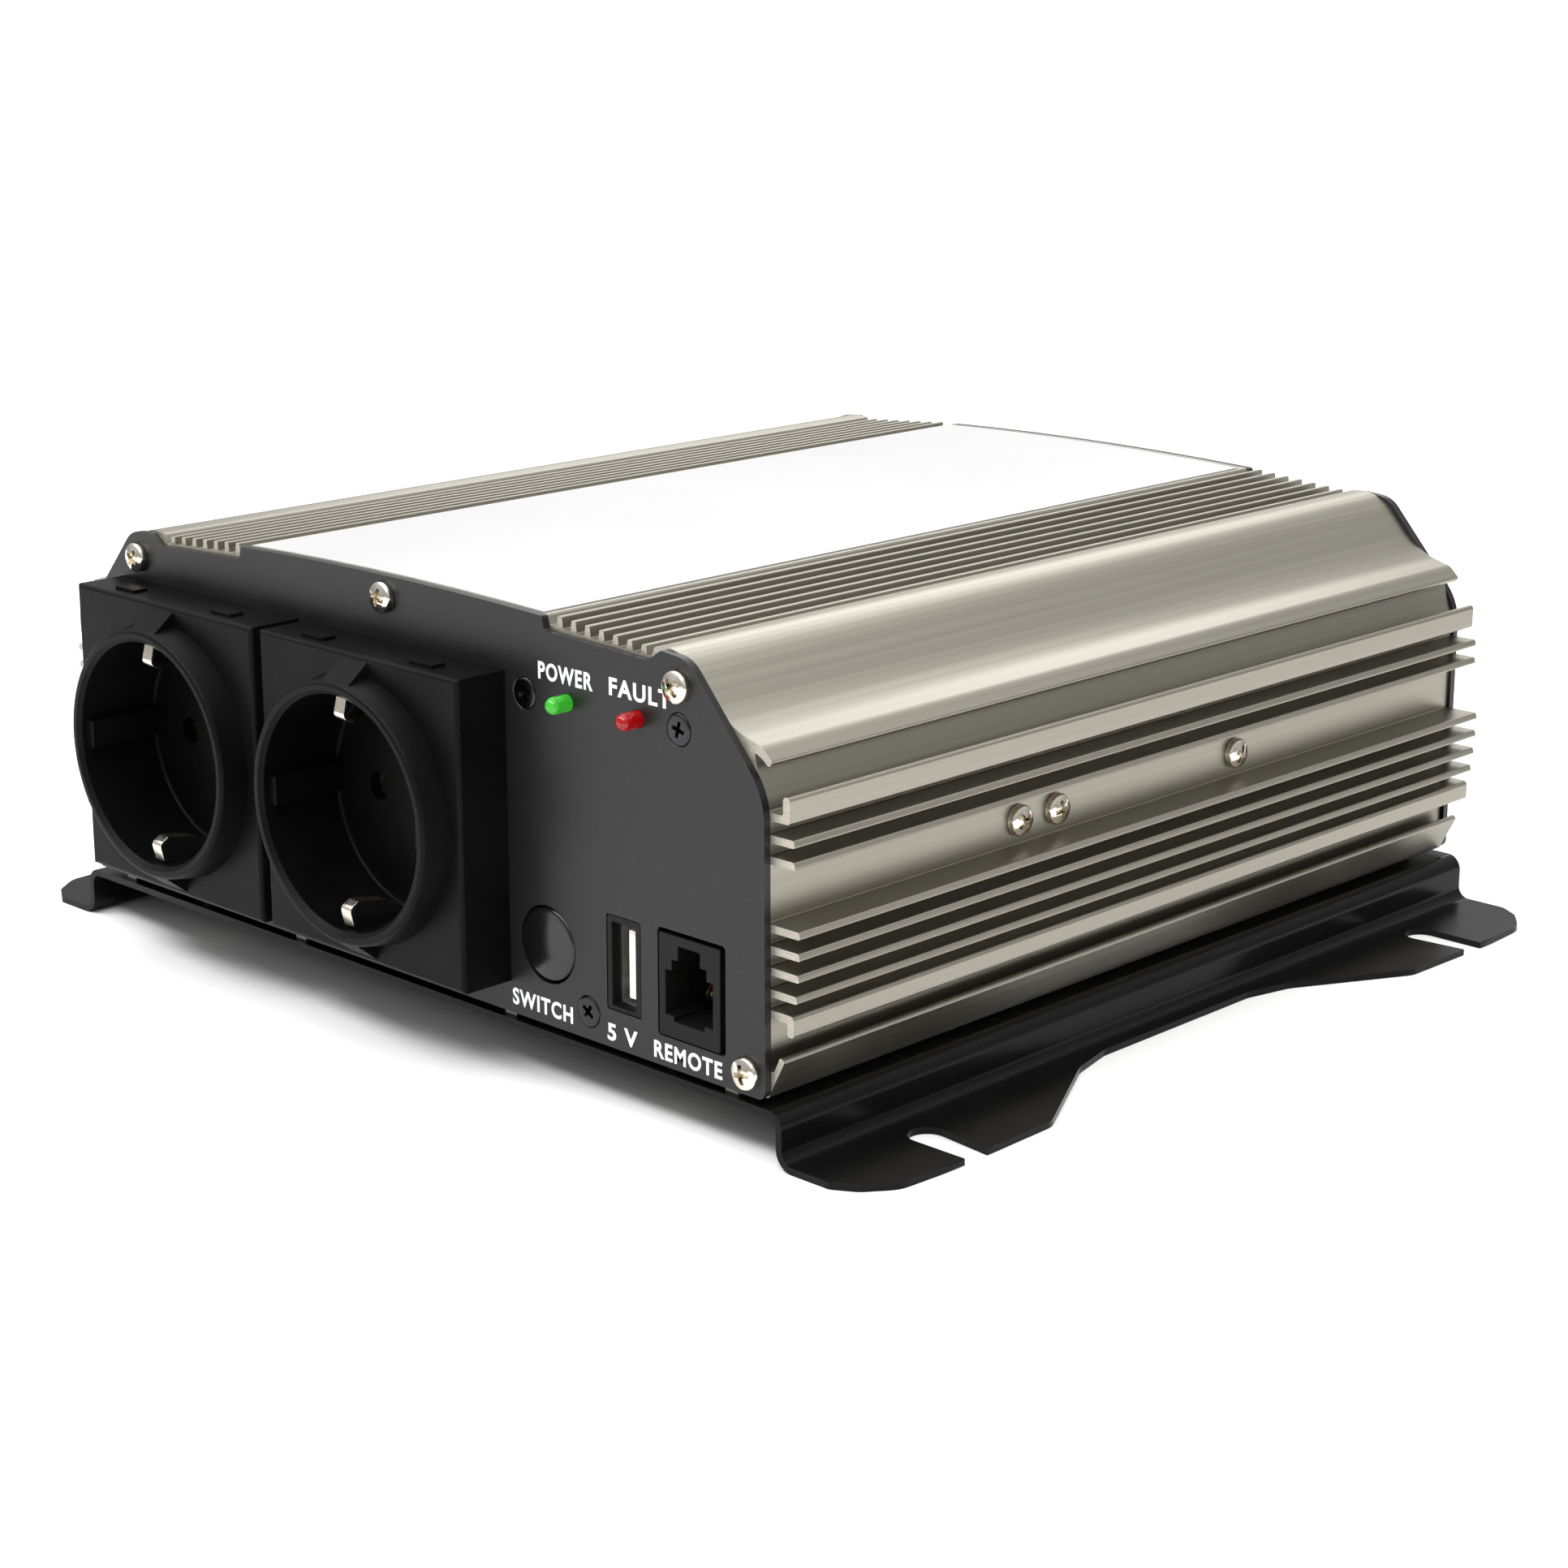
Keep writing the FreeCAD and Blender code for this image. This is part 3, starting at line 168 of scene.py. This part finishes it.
def paint_material(name, base, rough, grain, depth, spec=0.32):
    """Powder-coated sheet metal: a fine orange-peel skin, dust specks, and glossier edges with a painted
    highlight.
    """
    s = Shader(name)
    skin = s.noise(grain, 2.0, 0.5)
    fine = s.noise(grain * 3.2, 2.0, 0.6)
    patches = s.noise(28.0, 3.0, 0.6)
    specks = s.remap(s.noise(2300, 1.0, 0.4), 0.70, 0.76, 0.0, 0.5)
    edge = s.edge()
    body = s.mix(s.spread(patches), grey(base), grey(base * 1.35, (1.0, 1.0, 1.03)))
    dusty = s.mix(specks, body, grey(base + 0.03))
    # painted highlight: the rounded edges are painted a little lighter than the flat paint
    s.link(s.mix(s.math("MULTIPLY", edge, 0.35), dusty, grey(base + 0.01)), "Base Color")
    flat_rough = s.remap(patches, 0.25, 0.75, *rough)
    s.link(s.math("MULTIPLY", flat_rough, s.remap(edge, 0.0, 1.0, 1.0, EDGE_POLISH)), "Roughness")
    s.link(s.remap(edge, 0.0, 1.0, spec, 1.0), "Specular IOR Level")
    s.link(s.bump(fine, depth * 0.4, 0.5, s.bump(skin, depth, 0.6)), "Normal")
    return s.material


def moulded_material(name, base, rough, grain, depth, tint=(1.0, 1.0, 1.0), spec=0.5):
    """Injection-moulded plastic with a spark-eroded texture."""
    s = Shader(name, Specular_IOR_Level=spec)
    skin = s.noise(grain, 3.0, 0.65)
    cloud = s.noise(45.0, 2.0, 0.5)
    body = s.mix(s.spread(cloud), grey(base, tint), grey(base * 1.25 + 0.002, tint))
    # the rounded edges are made a little lighter than the body
    edge_tone = grey(base * 1.4 + 0.004, tint)
    s.link(s.mix(s.math("MULTIPLY", s.edge(), 0.3), body, edge_tone), "Base Color")
    s.link(s.remap(skin, 0.25, 0.75, rough - 0.06, rough + 0.08), "Roughness")
    s.link(s.bump(skin, depth, 0.8), "Normal")
    return s.material


def plated_material(name, colour, rough):
    """Plated metal with fine scratches and slightly duller patches."""
    s = Shader(name, Metallic=1.0)
    swirl = s.noise(1.0, 3.0, 0.6, s.scaled(3000, 700, 3000))
    patch = s.noise(260, 3.0, 0.6)
    s.link(s.mix(s.remap(patch, 0.4, 0.7, 0.0, 0.6), colour, darker(colour, 0.72)), "Base Color")
    s.link(s.remap(swirl, 0.25, 0.75, rough, rough + 0.14), "Roughness")
    s.link(s.bump(swirl, 0.000012, 0.5), "Normal")
    return s.material


def lamp_material(name, colour, glow):
    """Tinted clear epoxy, faintly cloudy, lit a little from inside."""
    s = Shader(name, Roughness=0.05, IOR=1.5, Emission_Strength=glow, Transmission_Weight=0.6)
    shade = s.mix(s.spread(s.noise(700, 2.0)), colour, darker(colour, 0.8))
    s.link(shade, "Base Color")
    s.link(shade, "Emission Color")
    return s.material


def label_material():
    """Satin printed film with a very fine grain."""
    s = Shader("label_film", Specular_IOR_Level=0.4)
    grain = s.noise(3500, 2.0)
    cloud = s.noise(14.0, 3.0)
    s.link(s.mix(s.spread(cloud), (0.45, 0.45, 0.45, 1), (0.49, 0.49, 0.487, 1)), "Base Color")
    s.link(s.remap(grain, 0.3, 0.7, 0.32, 0.42), "Roughness")
    s.link(s.bump(grain, 0.000006, 0.5), "Normal")
    return s.material


def board_material():
    """Green solder mask over copper tracks."""
    s = Shader("solder_mask", Roughness=0.35)
    brick = {"Vector": s.place, "Scale": 160.0, "Mortar Size": 0.03}
    tracks = s.add("ShaderNodeTexBrick", brick).outputs["Fac"]
    green = s.mix(s.spread(s.noise(900, 2.0)), (0.015, 0.12, 0.04, 1), (0.02, 0.16, 0.06, 1))
    s.link(s.mix(s.math("MULTIPLY", tracks, 0.5), green, (0.05, 0.26, 0.10, 1)), "Base Color")
    s.link(s.bump(tracks, 0.00003, 0.4), "Normal")
    return s.material


def wound_material(name, colour, pitch):
    """Tape or wire: fine bands with small changes of shade."""
    s = Shader(name, Roughness=0.35, Coat_Weight=0.3)
    wave = {"Vector": s.place, "Scale": pitch, "Distortion": 0.6}
    band = s.add("ShaderNodeTexWave", wave).outputs["Fac"]
    s.link(s.mix(band, colour, darker(colour, 0.7)), "Base Color")
    s.link(s.bump(band, 0.00005, 0.5), "Normal")
    return s.material


def print_material():
    """White screen-printed ink, a little uneven."""
    s = Shader("white_ink", Roughness=0.5)
    grain = s.noise(2600, 3.0)
    s.link(s.mix(s.spread(grain, 0.3, 0.75), grey(0.95), (0.86, 0.86, 0.87, 1)), "Base Color")
    s.link(s.bump(grain, 0.000008, 0.5), "Normal")
    return s.material


MATERIALS = {
    "casing_aluminium": casing_material(),
    "panel_paint": paint_material("panel_coat", 0.008, rough=(0.34, 0.42), grain=2100, depth=0.000018),
    "plate_paint": paint_material("plate_coat", 0.003, rough=(0.20, 0.30), grain=1500, depth=0.000012,
                                  spec=0.12),
    "label_sheet": label_material(),
    "screw_nickel": plated_material("nickel_plate", (0.80, 0.75, 0.65, 1), rough=0.07),
    "screw_black": plated_material("black_oxide", (0.045, 0.045, 0.047, 1), rough=0.18),
    "steel_plain": plated_material("zinc_plate", (0.62, 0.62, 0.62, 1), rough=0.30),
    "socket_plastic": moulded_material("socket_moulding", 0.002, rough=0.40, grain=2600, depth=0.00003,
                                       tint=(1.0, 1.0, 1.12), spec=0.08),
    "button_plastic": moulded_material("button_gloss", 0.004, rough=0.20, grain=900, depth=0.000003,
                                       tint=(1.0, 1.0, 1.1)),
    "black_plastic": moulded_material("black_moulding", 0.004, rough=0.40, grain=2400, depth=0.00003,
                                      spec=0.14),
    "white_plastic": moulded_material("white_moulding", 0.72, rough=0.35, grain=1800, depth=0.00001,
                                      tint=(1.0, 0.99, 0.96)),
    "contact_metal": plated_material("contact_nickel", (0.86, 0.79, 0.66, 1), rough=0.16),
    "contact_gold": plated_material("contact_gold", (0.83, 0.63, 0.30, 1), rough=0.2),
    "led_green": lamp_material("green_epoxy", (0.08, 0.70, 0.05, 1), glow=0.12),
    "led_red": lamp_material("red_epoxy", (0.62, 0.004, 0.005, 1), glow=0.08),
    "board_green": board_material(),
    "ferrite": moulded_material("ferrite_core", 0.05, rough=0.6, grain=1800, depth=0.00004),
    "winding_tape": wound_material("yellow_tape", (0.75, 0.52, 0.06, 1), pitch=300),
    "capacitor_sleeve": moulded_material("blue_black_sleeve", 0.03, rough=0.3, grain=1200, depth=0.00001,
                                         tint=(0.7, 0.8, 1.4)),
    "copper_wire": wound_material("enamelled_wire", (0.55, 0.22, 0.08, 1), pitch=900),
    "fuse_plastic": moulded_material("fuse_amber", 0.5, rough=0.2, grain=900, depth=0.00001,
                                     tint=(1.0, 0.75, 0.1)),
    "pad_rubber": moulded_material("thermal_pad", 0.3, rough=0.7, grain=1600, depth=0.00003,
                                   tint=(0.9, 1.0, 1.1)),
    "stud_brass": plated_material("stud_plate", (0.80, 0.66, 0.38, 1), rough=0.22),
    "knob_red": moulded_material("red_moulding", 0.42, rough=0.38, grain=2000, depth=0.00002,
                                 tint=(1.0, 0.04, 0.03)),
    "knob_black": moulded_material("knob_moulding", 0.018, rough=0.40, grain=2000, depth=0.00002),
}
INK = print_material()


# ---- mesh helpers --------------------------------------------------------------------------
MERGE = 0.002 * MM             # corners closer than this are one corner
FLAT = math.radians(0.4)       # neighbouring faces turned by less than this are one face


def link_object(name, data):
    """A new object in the scene."""
    obj = bpy.data.objects.new(name, data)
    bpy.context.scene.collection.objects.link(obj)
    return obj


def merged(node):
    """A CAD node's mesh with its doubled corners joined, as a bmesh."""
    build = bmesh.new()
    build.from_mesh(NODES[node].data)
    bmesh.ops.remove_doubles(build, verts=build.verts, dist=MERGE)
    return build


def written(build, name):
    """The mesh of a bmesh, which is freed."""
    mesh = bpy.data.meshes.new(name)
    build.to_mesh(mesh)
    build.free()
    return mesh


def evaluated(holder, cutters=()):
    """The mesh that a holder's modifiers make. The holder and its cutters are removed."""
    graph = bpy.context.evaluated_depsgraph_get()
    mesh = bpy.data.meshes.new_from_object(holder.evaluated_get(graph))
    for obj in (holder, *cutters):
        bpy.data.objects.remove(obj)
    return mesh


def finish_mesh(mesh, angle):
    """Smooth shading with sharp edges above an angle."""
    for polygon in mesh.polygons:
        polygon.use_smooth = True
    mesh.set_sharp_from_angle(angle=math.radians(angle))


def new_piece(name, mesh, node, replace=True, material=None):
    """Links a mesh as a piece that rides with a CAD node's body and, if asked, replaces the node."""
    piece = link_object(name, mesh)
    slot = SLOT_OF[node]
    mesh.materials.clear()
    mesh.materials.append(material or MATERIALS[slot])
    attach(piece, BODY_OF[node])
    if replace:
        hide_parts(node)
    return piece


def mark_edges(mesh):
    """Turns the second material index of the rounded faces into a mark that shaders can read."""
    mark = mesh.attributes.new(EDGE, "FLOAT", "FACE")
    for polygon, value in zip(mesh.polygons, mark.data):
        value.value = float(polygon.material_index)
        polygon.material_index = 0


def rounded_copy(node, width, segments=3, angle=28.0):
    """The CAD node's own shape with its sharp edges rounded over by a small real radius."""
    build = merged(node)
    bmesh.ops.dissolve_limit(build, angle_limit=FLAT, verts=build.verts, edges=build.edges)
    mesh = written(build, node + "_raw")
    for _ in range(2):
        mesh.materials.append(MATERIALS[SLOT_OF[node]])
    finish_mesh(mesh, 180.0)
    holder = link_object(node + "_holder", mesh)
    bevel = holder.modifiers.new("round", "BEVEL")
    bevel.width = width * MM
    bevel.segments = segments
    bevel.limit_method = "ANGLE"
    bevel.angle_limit = math.radians(angle)
    bevel.use_clamp_overlap = True
    bevel.miter_outer = "MITER_ARC"
    bevel.material = 1
    flat = holder.modifiers.new("flat", "WEIGHTED_NORMAL")
    flat.weight = 100
    result = evaluated(holder)
    mark_edges(result)
    new_piece(node + "_rounded", result, node)


def islands(node):
    """The lowest and highest corners of each separate solid of a node, as vectors in metres."""
    build = merged(node)
    left = set(build.verts)
    boxes = []
    while left:
        stack = [left.pop()]
        found = list(stack)
        while stack:
            for edge in stack.pop().link_edges:
                for vert in edge.verts:
                    if vert in left:
                        left.remove(vert)
                        found.append(vert)
                        stack.append(vert)
        places = [vert.co for vert in found]
        low = Vector([min(place[i] for place in places) for i in range(3)])
        high = Vector([max(place[i] for place in places) for i in range(3)])
        boxes.append((low, high))
    build.free()
    return sorted(boxes, key=lambda box: tuple(round(value, 5) for value in box[0]))


def lathe(profile, steps=48):
    """A closed mesh from (radius, height) points in millimetres, turned about Z."""
    build = bmesh.new()
    angles = [2 * math.pi * i / steps for i in range(steps)]
    rings = []
    for radius, height in profile:
        on_axis = radius < 1e-6
        r, z = (0 if on_axis else radius * MM), height * MM
        turns = angles[:1] if on_axis else angles
        rings.append([build.verts.new((r * math.cos(a), r * math.sin(a), z)) for a in turns])
    for lower, upper in zip(rings, rings[1:]):
        for i in range(steps):
            j = (i + 1) % steps
            corners = [lower[i % len(lower)], lower[j % len(lower)],
                       upper[j % len(upper)], upper[i % len(upper)]]
            build.faces.new(list(dict.fromkeys(corners)))
    bmesh.ops.recalc_face_normals(build, faces=build.faces)
    return written(build, "lathe")


def arc(centre, radius, start, stop, count):
    """Points of an arc in the (radius, height) plane, angles in degrees."""
    turns = [math.radians(start + (stop - start) * i / count) for i in range(count + 1)]
    return [(centre[0] + radius * math.cos(t), centre[1] + radius * math.sin(t)) for t in turns]


def cut_with(mesh, tools):
    """The mesh with every tool mesh cut out of it."""
    holder = link_object("holder", mesh)
    cutters = [link_object("cutter", tool) for tool in tools]
    for cutter in cutters:
        boolean = holder.modifiers.new("cut", "BOOLEAN")
        boolean.operation = "DIFFERENCE"
        boolean.solver = "EXACT"
        boolean.object = cutter
    return evaluated(holder, cutters)


def wedge(half, width, top, bottom, taper=0.62):
    """A bar that narrows downwards, for one arm pair of a cross recess."""
    build = bmesh.new()
    corners = []
    for height, shrink in ((bottom, taper), (top, 1.0)):
        for x, y in ((-half, -width), (half, -width), (half, width), (-half, width)):
            corners.append(build.verts.new((x * shrink * MM, y * shrink * MM / 2, height * MM)))
    for face in ((3, 2, 1, 0), (4, 5, 6, 7), (0, 1, 5, 4), (1, 2, 6, 5), (2, 3, 7, 6), (3, 0, 4, 7)):
        build.faces.new([corners[i] for i in face])
    return written(build, "wedge")


def aimed(mesh, place, axis, turn=0.0):
    """A copy of the mesh with its Z axis along axis, spun by turn degrees and moved to place."""
    copy = mesh.copy()
    spin = Matrix.Rotation(math.radians(turn), 4, "Z")
    aim = Vector(axis).to_track_quat("Z", "Y").to_matrix().to_4x4()
    copy.transform(Matrix.Translation(place) @ aim @ spin)
    return copy


def crossed(mesh, half, width, top, bottom):
    """The mesh with a cross recess cut into its top."""
    arm = wedge(half, width, top, bottom)
    other = arm.copy()
    other.transform(Matrix.Rotation(math.radians(90), 4, "Z"))
    return cut_with(mesh, [arm, other])


def joined(meshes, name):
    """One mesh from several."""
    build = bmesh.new()
    for mesh in meshes:
        build.from_mesh(mesh)
    return written(build, name)


def box_of(node):
    """The lowest and highest corners of a node, as vectors in metres."""
    return [Vector(corner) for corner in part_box(node)]


def front_of(node):
    """The middle of a node's front face, and its size in millimetres."""
    low, high = box_of(node)
    return Vector(((low.x + high.x) / 2, low.y, (low.z + high.z) / 2)), (high - low) / MM


def dress_cad_nodes():
    """Gives every CAD node the material of its slot."""
    for node, obj in NODES.items():
        obj.data.materials.clear()
        obj.data.materials.append(MATERIALS[SLOT_OF[node]])


# ---- pieces, with sizes in millimetres -----------------------------------------------------
ROUNDED = {                    # radius of the rounded edges of each node
    "front_panel": 0.55, "rear_panel": 0.55, "base_plate": 0.3,
    "left_socket_housing": 0.3, "right_socket_housing": 0.3,
    "left_earth_clips": 0.1, "right_earth_clips": 0.1,
    "charge_port_collar": 0.15, "charge_port_tongue": 0.08, "remote_jack_body": 0.15,
    "positive_insulator": 0.2, "negative_insulator": 0.2, "positive_knob": 0.2, "negative_knob": 0.2,
    "fan_frame": 0.3, "fan_guard": 0.45, "fan_rotor": 0.15, "ground_screw": 0.15,
}

SCREW_CREASE = 38.0            # degrees
HEAD_R = 2.85
HEAD_H = 2.0
CROWN_R = 4.2                  # the domed top of a pan head
SHOULDER_R = 0.8               # the curve from the dome into the side
SHOULDER_H = 0.75              # height of that curve's centre above the seat
CHAMFER = (0.12, 0.25)         # across and up, where the head meets its seat
SHANK_R = 1.25
FLUSH_FACE = [(0, 0.0), (2.3, 0.0), (2.55, -0.05), (2.7, -0.2)]
FLUSH_DEPTH = 1.4              # where the countersunk cone meets the shank
PAN_CROSS = {"half": 2.0, "width": 1.0, "top": HEAD_H + 0.3, "bottom": HEAD_H - 1.4}
FLUSH_CROSS = {"half": 1.6, "width": 0.8, "top": 0.3, "bottom": -0.95}
SPINS = (20, 55, 75, 40, 10, 65)   # degrees that the screws of a row are turned


def pan_head(length):
    """A pan-head screw, its head's seat at the origin and its crown up Z."""
    crown = arc((0.0, HEAD_H - CROWN_R), CROWN_R, 90.0, 58.0, 8)
    shoulder = arc((HEAD_R - SHOULDER_R, SHOULDER_H), SHOULDER_R, 50.0, 0.0, 6)
    seat = [(HEAD_R, CHAMFER[1]), (HEAD_R - CHAMFER[0], 0.0)]
    shank = [(SHANK_R, 0.0), (SHANK_R, -length), (0, -length)]
    return crossed(lathe(crown[:-1] + shoulder + seat + shank), **PAN_CROSS)


def flush_head(length):
    """A countersunk screw, its face at the origin and up Z."""
    shank = [(SHANK_R, -FLUSH_DEPTH), (SHANK_R, -length), (0, -length)]
    return crossed(lathe(FLUSH_FACE + shank), **FLUSH_CROSS)


def sideways(place):
    """Left or right, away from the middle of the part."""
    return (math.copysign(1, place.x), 0, 0)


def add_screws(node, make, head_height, axis_of):
    """Detailed screws at the places of a node's solids, in one piece."""
    copies = []
    for i, (low, high) in enumerate(islands(node)):
        middle = (low + high) / 2
        axis = Vector(axis_of(middle))
        length = abs((high - low).dot(axis)) / MM
        seat = middle + axis * (length / 2 - head_height) * MM
        copies.append(aimed(make(length - head_height), seat, axis, SPINS[i % len(SPINS)]))
    mesh = joined(copies, node + "_mesh")
    finish_mesh(mesh, SCREW_CREASE)
    new_piece(node + "_cut", mesh, node)


def add_all_screws():
    add_screws("front_panel_screws", pan_head, HEAD_H, lambda place: FRONT)
    add_screws("rear_panel_screws", pan_head, HEAD_H, lambda place: REAR)
    add_screws("fan_screws", pan_head, HEAD_H, lambda place: REAR)
    add_screws("base_plate_screws", pan_head, HEAD_H, lambda place: DOWN)
    add_screws("side_clamp_screws", pan_head, HEAD_H, sideways)
    add_screws("control_board_screws", flush_head, 0.0, lambda place: FRONT)


TURNED_CREASE = 50.0           # degrees
LAMP_LIP = 0.4                 # how far the flange reaches past the barrel
LAMP_FLANGE = 1.1              # its thickness


def add_lamp(node):
    """A round epoxy lamp: dome, barrel and the flange behind the panel."""
    tip, size = front_of(node)
    flange_r = size.x / 2
    r = flange_r - LAMP_LIP
    flange = [(r, LAMP_FLANGE - size.y), (flange_r, LAMP_FLANGE - size.y), (flange_r, -size.y)]
    profile = arc((0, -r), r, 90.0, 0.0, 14) + flange + [(0, -size.y)]
    mesh = aimed(lathe(profile), tip, FRONT)
    finish_mesh(mesh, TURNED_CREASE)
    new_piece(node + "_dome", mesh, node)


CAP_DOME_R = 34.0
CAP_DOME_INSET = 0.9           # the dome stops this far in from the side of the cap
CAP_RIM_R = 0.8                # the curve from the dome into the side
CAP_RIM_DROP = 0.78            # from the dome's edge down to that curve's centre
CAP_SKIRT = 4.8                # depth of the cap, where its stem starts
STEM_R = 2.4


def add_button():
    """A glossy cap with a low dome and rounded rim, on its stem."""
    tip, size = front_of("power_button")
    r = size.x / 2
    edge = math.degrees(math.asin((r - CAP_DOME_INSET) / CAP_DOME_R))
    dome = arc((0, -CAP_DOME_R), CAP_DOME_R, 90.0, 90.0 - edge, 10)
    rim = arc((r - CAP_RIM_R, dome[-1][1] - CAP_RIM_DROP), CAP_RIM_R, 80.0, 0.0, 6)
    stem = [(r, -CAP_SKIRT), (STEM_R, -CAP_SKIRT), (STEM_R, -size.y), (0, -size.y)]
    mesh = aimed(lathe(dome[:-1] + rim + stem, 72), tip, FRONT)
    finish_mesh(mesh, TURNED_CREASE)
    new_piece("power_button_cap", mesh, "power_button")


def add_spring():
    """The button's coil spring, as a piece with a mesh of its own."""
    spring = new_piece("button_spring_coil", NODES["button_spring"].data.copy(), "button_spring")
    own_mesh(spring)


WORD_H = 3.1                   # height of the printed capitals
INK_T = 0.02
STROKE = 0.028                 # added to the font's own stroke, as a share of its size
SPACING = 1.14                 # between letters, as a share of the font's own
WORDS = {                      # text, the node it names, offset across and up from it, width
    "power": ("POWER", "power_led", -0.25, 4.6, 13.5),
    "fault": ("FAULT", "fault_led", 0.6, 4.45, 14.6),
    "switch": ("SWITCH", "power_button", -1.65, -11.5, 15.6),
    "charge": ("5 V", "charge_port_collar", -0.5, -12.6, 7.4),
    "remote": ("REMOTE", "remote_jack_body", -0.3, -11.9, 16.2),
}


def add_word(key):
    """One printed word on the front panel, placed from the part that it names."""
    text, node, dx, dz, width = WORDS[key]
    curve = bpy.data.curves.new("word", "FONT")
    curve.body = text
    curve.offset = STROKE
    curve.space_character = SPACING
    curve.extrude = 0.01       # any depth does: the mesh is scaled to INK_T below
    curve.align_x = "CENTER"
    curve.resolution_u = 4
    mesh = evaluated(link_object("word", curve))
    span = [[limit(v.co[i] for v in mesh.vertices) for limit in (min, max)] for i in range(3)]
    middle = Vector([(low + high) / 2 for low, high in span])
    across, up, deep = [high - low for low, high in span]
    mesh.transform(Matrix.Translation(-middle))
    mesh.transform(Matrix.Diagonal((width * MM / across, WORD_H * MM / up, INK_T * MM / deep, 1.0)))
    mesh.transform(Matrix.Rotation(math.radians(90), 4, "X"))
    place, _ = front_of(node)
    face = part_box("front_panel")[0][1]
    mesh.transform(Matrix.Translation((place.x + dx * MM, face - INK_T * MM / 2, place.z + dz * MM)))
    for polygon in mesh.polygons:
        polygon.use_smooth = False
    word = new_piece("printed_" + key, mesh, "front_panel", replace=False, material=INK)


# ---- stage, in metres ----------------------------------------------------------------------
AIM = (0, 0, 0.04)
WHITE = (1, 1, 1, 1)
DOME = (0.35, 1.15)            # strength of the surrounding light at the horizon and overhead
BACKDROP = 1.1                 # strength of the white that the camera sees
FLOOR_SIZE = 2.4
SOFTBOXES = [                  # name, place, target, width, height, radiance
    ("overhead", (0.0, 0.0, 1.7), AIM, 2.6, 2.2, 1.3),
    ("rear_left", (-0.75, 1.05, 0.88), AIM, 0.9, 0.45, 3.6),
    ("front_strip", (-0.1, -0.75, 1.05), AIM, 2.0, 0.28, 8.5),
]

CAMERA_AT = (0.43274, -0.44978, 0.20052)
CAMERA_RIGHT = (0.71962, 0.69436, 0.00202)
CAMERA_UP = (-0.18840, 0.19245, 0.96305)
LENS = 73.03                   # mm, for a sensor SENSOR mm wide
SENSOR = 36.0


def add_area(name, location, target, width, height, radiance):
    """A rectangular softbox of even brightness."""
    light = bpy.data.lights.new(name, "AREA")
    light.shape = "RECTANGLE"
    light.size = width
    light.size_y = height
    light.energy = radiance * math.pi * width * height
    lamp = link_object(name, light)
    lamp.location = location
    aim = Vector(target) - Vector(location)
    lamp.rotation_euler = aim.to_track_quat("-Z", "Y").to_euler()


def add_surround():
    """White behind the object, and a softer grey dome as its light."""
    world = bpy.data.worlds.new("surround")
    bpy.context.scene.world = world
    world.use_nodes = True
    tree = world.node_tree
    dome = tree.nodes["Background"]
    dome.inputs["Color"].default_value = WHITE
    direction = tree.nodes.new("ShaderNodeTexCoord").outputs["Generated"]
    parts = tree.nodes.new("ShaderNodeSeparateXYZ")
    tree.links.new(direction, parts.inputs[0])
    rise = tree.nodes.new("ShaderNodeMapRange")
    tree.links.new(parts.outputs["Z"], rise.inputs["Value"])
    rise.inputs["To Min"].default_value, rise.inputs["To Max"].default_value = DOME
    tree.links.new(rise.outputs[0], dome.inputs["Strength"])
    white = tree.nodes.new("ShaderNodeBackground")
    white.inputs["Color"].default_value = WHITE
    white.inputs["Strength"].default_value = BACKDROP
    path = tree.nodes.new("ShaderNodeLightPath")
    mix = tree.nodes.new("ShaderNodeMixShader")
    tree.links.new(path.outputs["Is Camera Ray"], mix.inputs[0])
    tree.links.new(dome.outputs[0], mix.inputs[1])
    tree.links.new(white.outputs[0], mix.inputs[2])
    tree.links.new(mix.outputs[0], tree.nodes["World Output"].inputs["Surface"])


def add_stage():
    """A pale floor under soft lights."""
    bpy.ops.mesh.primitive_plane_add(size=FLOOR_SIZE, location=(0, 0, 0))
    floor = bpy.context.object
    floor.name = "floor"
    s = Shader("pale_floor", Roughness=0.75)
    s.link(s.mix(s.noise(3.0, 3.0), grey(0.90), grey(0.93)), "Base Color")
    floor.data.materials.append(s.material)
    add_surround()
    for row in SOFTBOXES:
        add_area(*row)


def add_camera():
    """The photo's own point of view."""
    data = bpy.data.cameras.new("camera")
    data.lens = LENS
    data.sensor_width = SENSOR
    data.clip_start = 0.01
    camera = link_object("camera", data)
    right = Vector(CAMERA_RIGHT).normalized()
    back = right.cross(Vector(CAMERA_UP)).normalized()
    up = back.cross(right)
    turn = Matrix((right, up, back)).transposed().to_4x4()
    camera.matrix_world = Matrix.Translation(CAMERA_AT) @ turn
    bpy.context.scene.camera = camera


dress_cad_nodes()
for node_name, radius in ROUNDED.items():
    rounded_copy(node_name, radius)
add_all_screws()
add_lamp("power_led")
add_lamp("fault_led")
add_button()
add_spring()
for word_key in WORDS:
    add_word(word_key)
add_stage()
add_camera()
bpy.context.scene.view_settings.view_transform = "Standard"
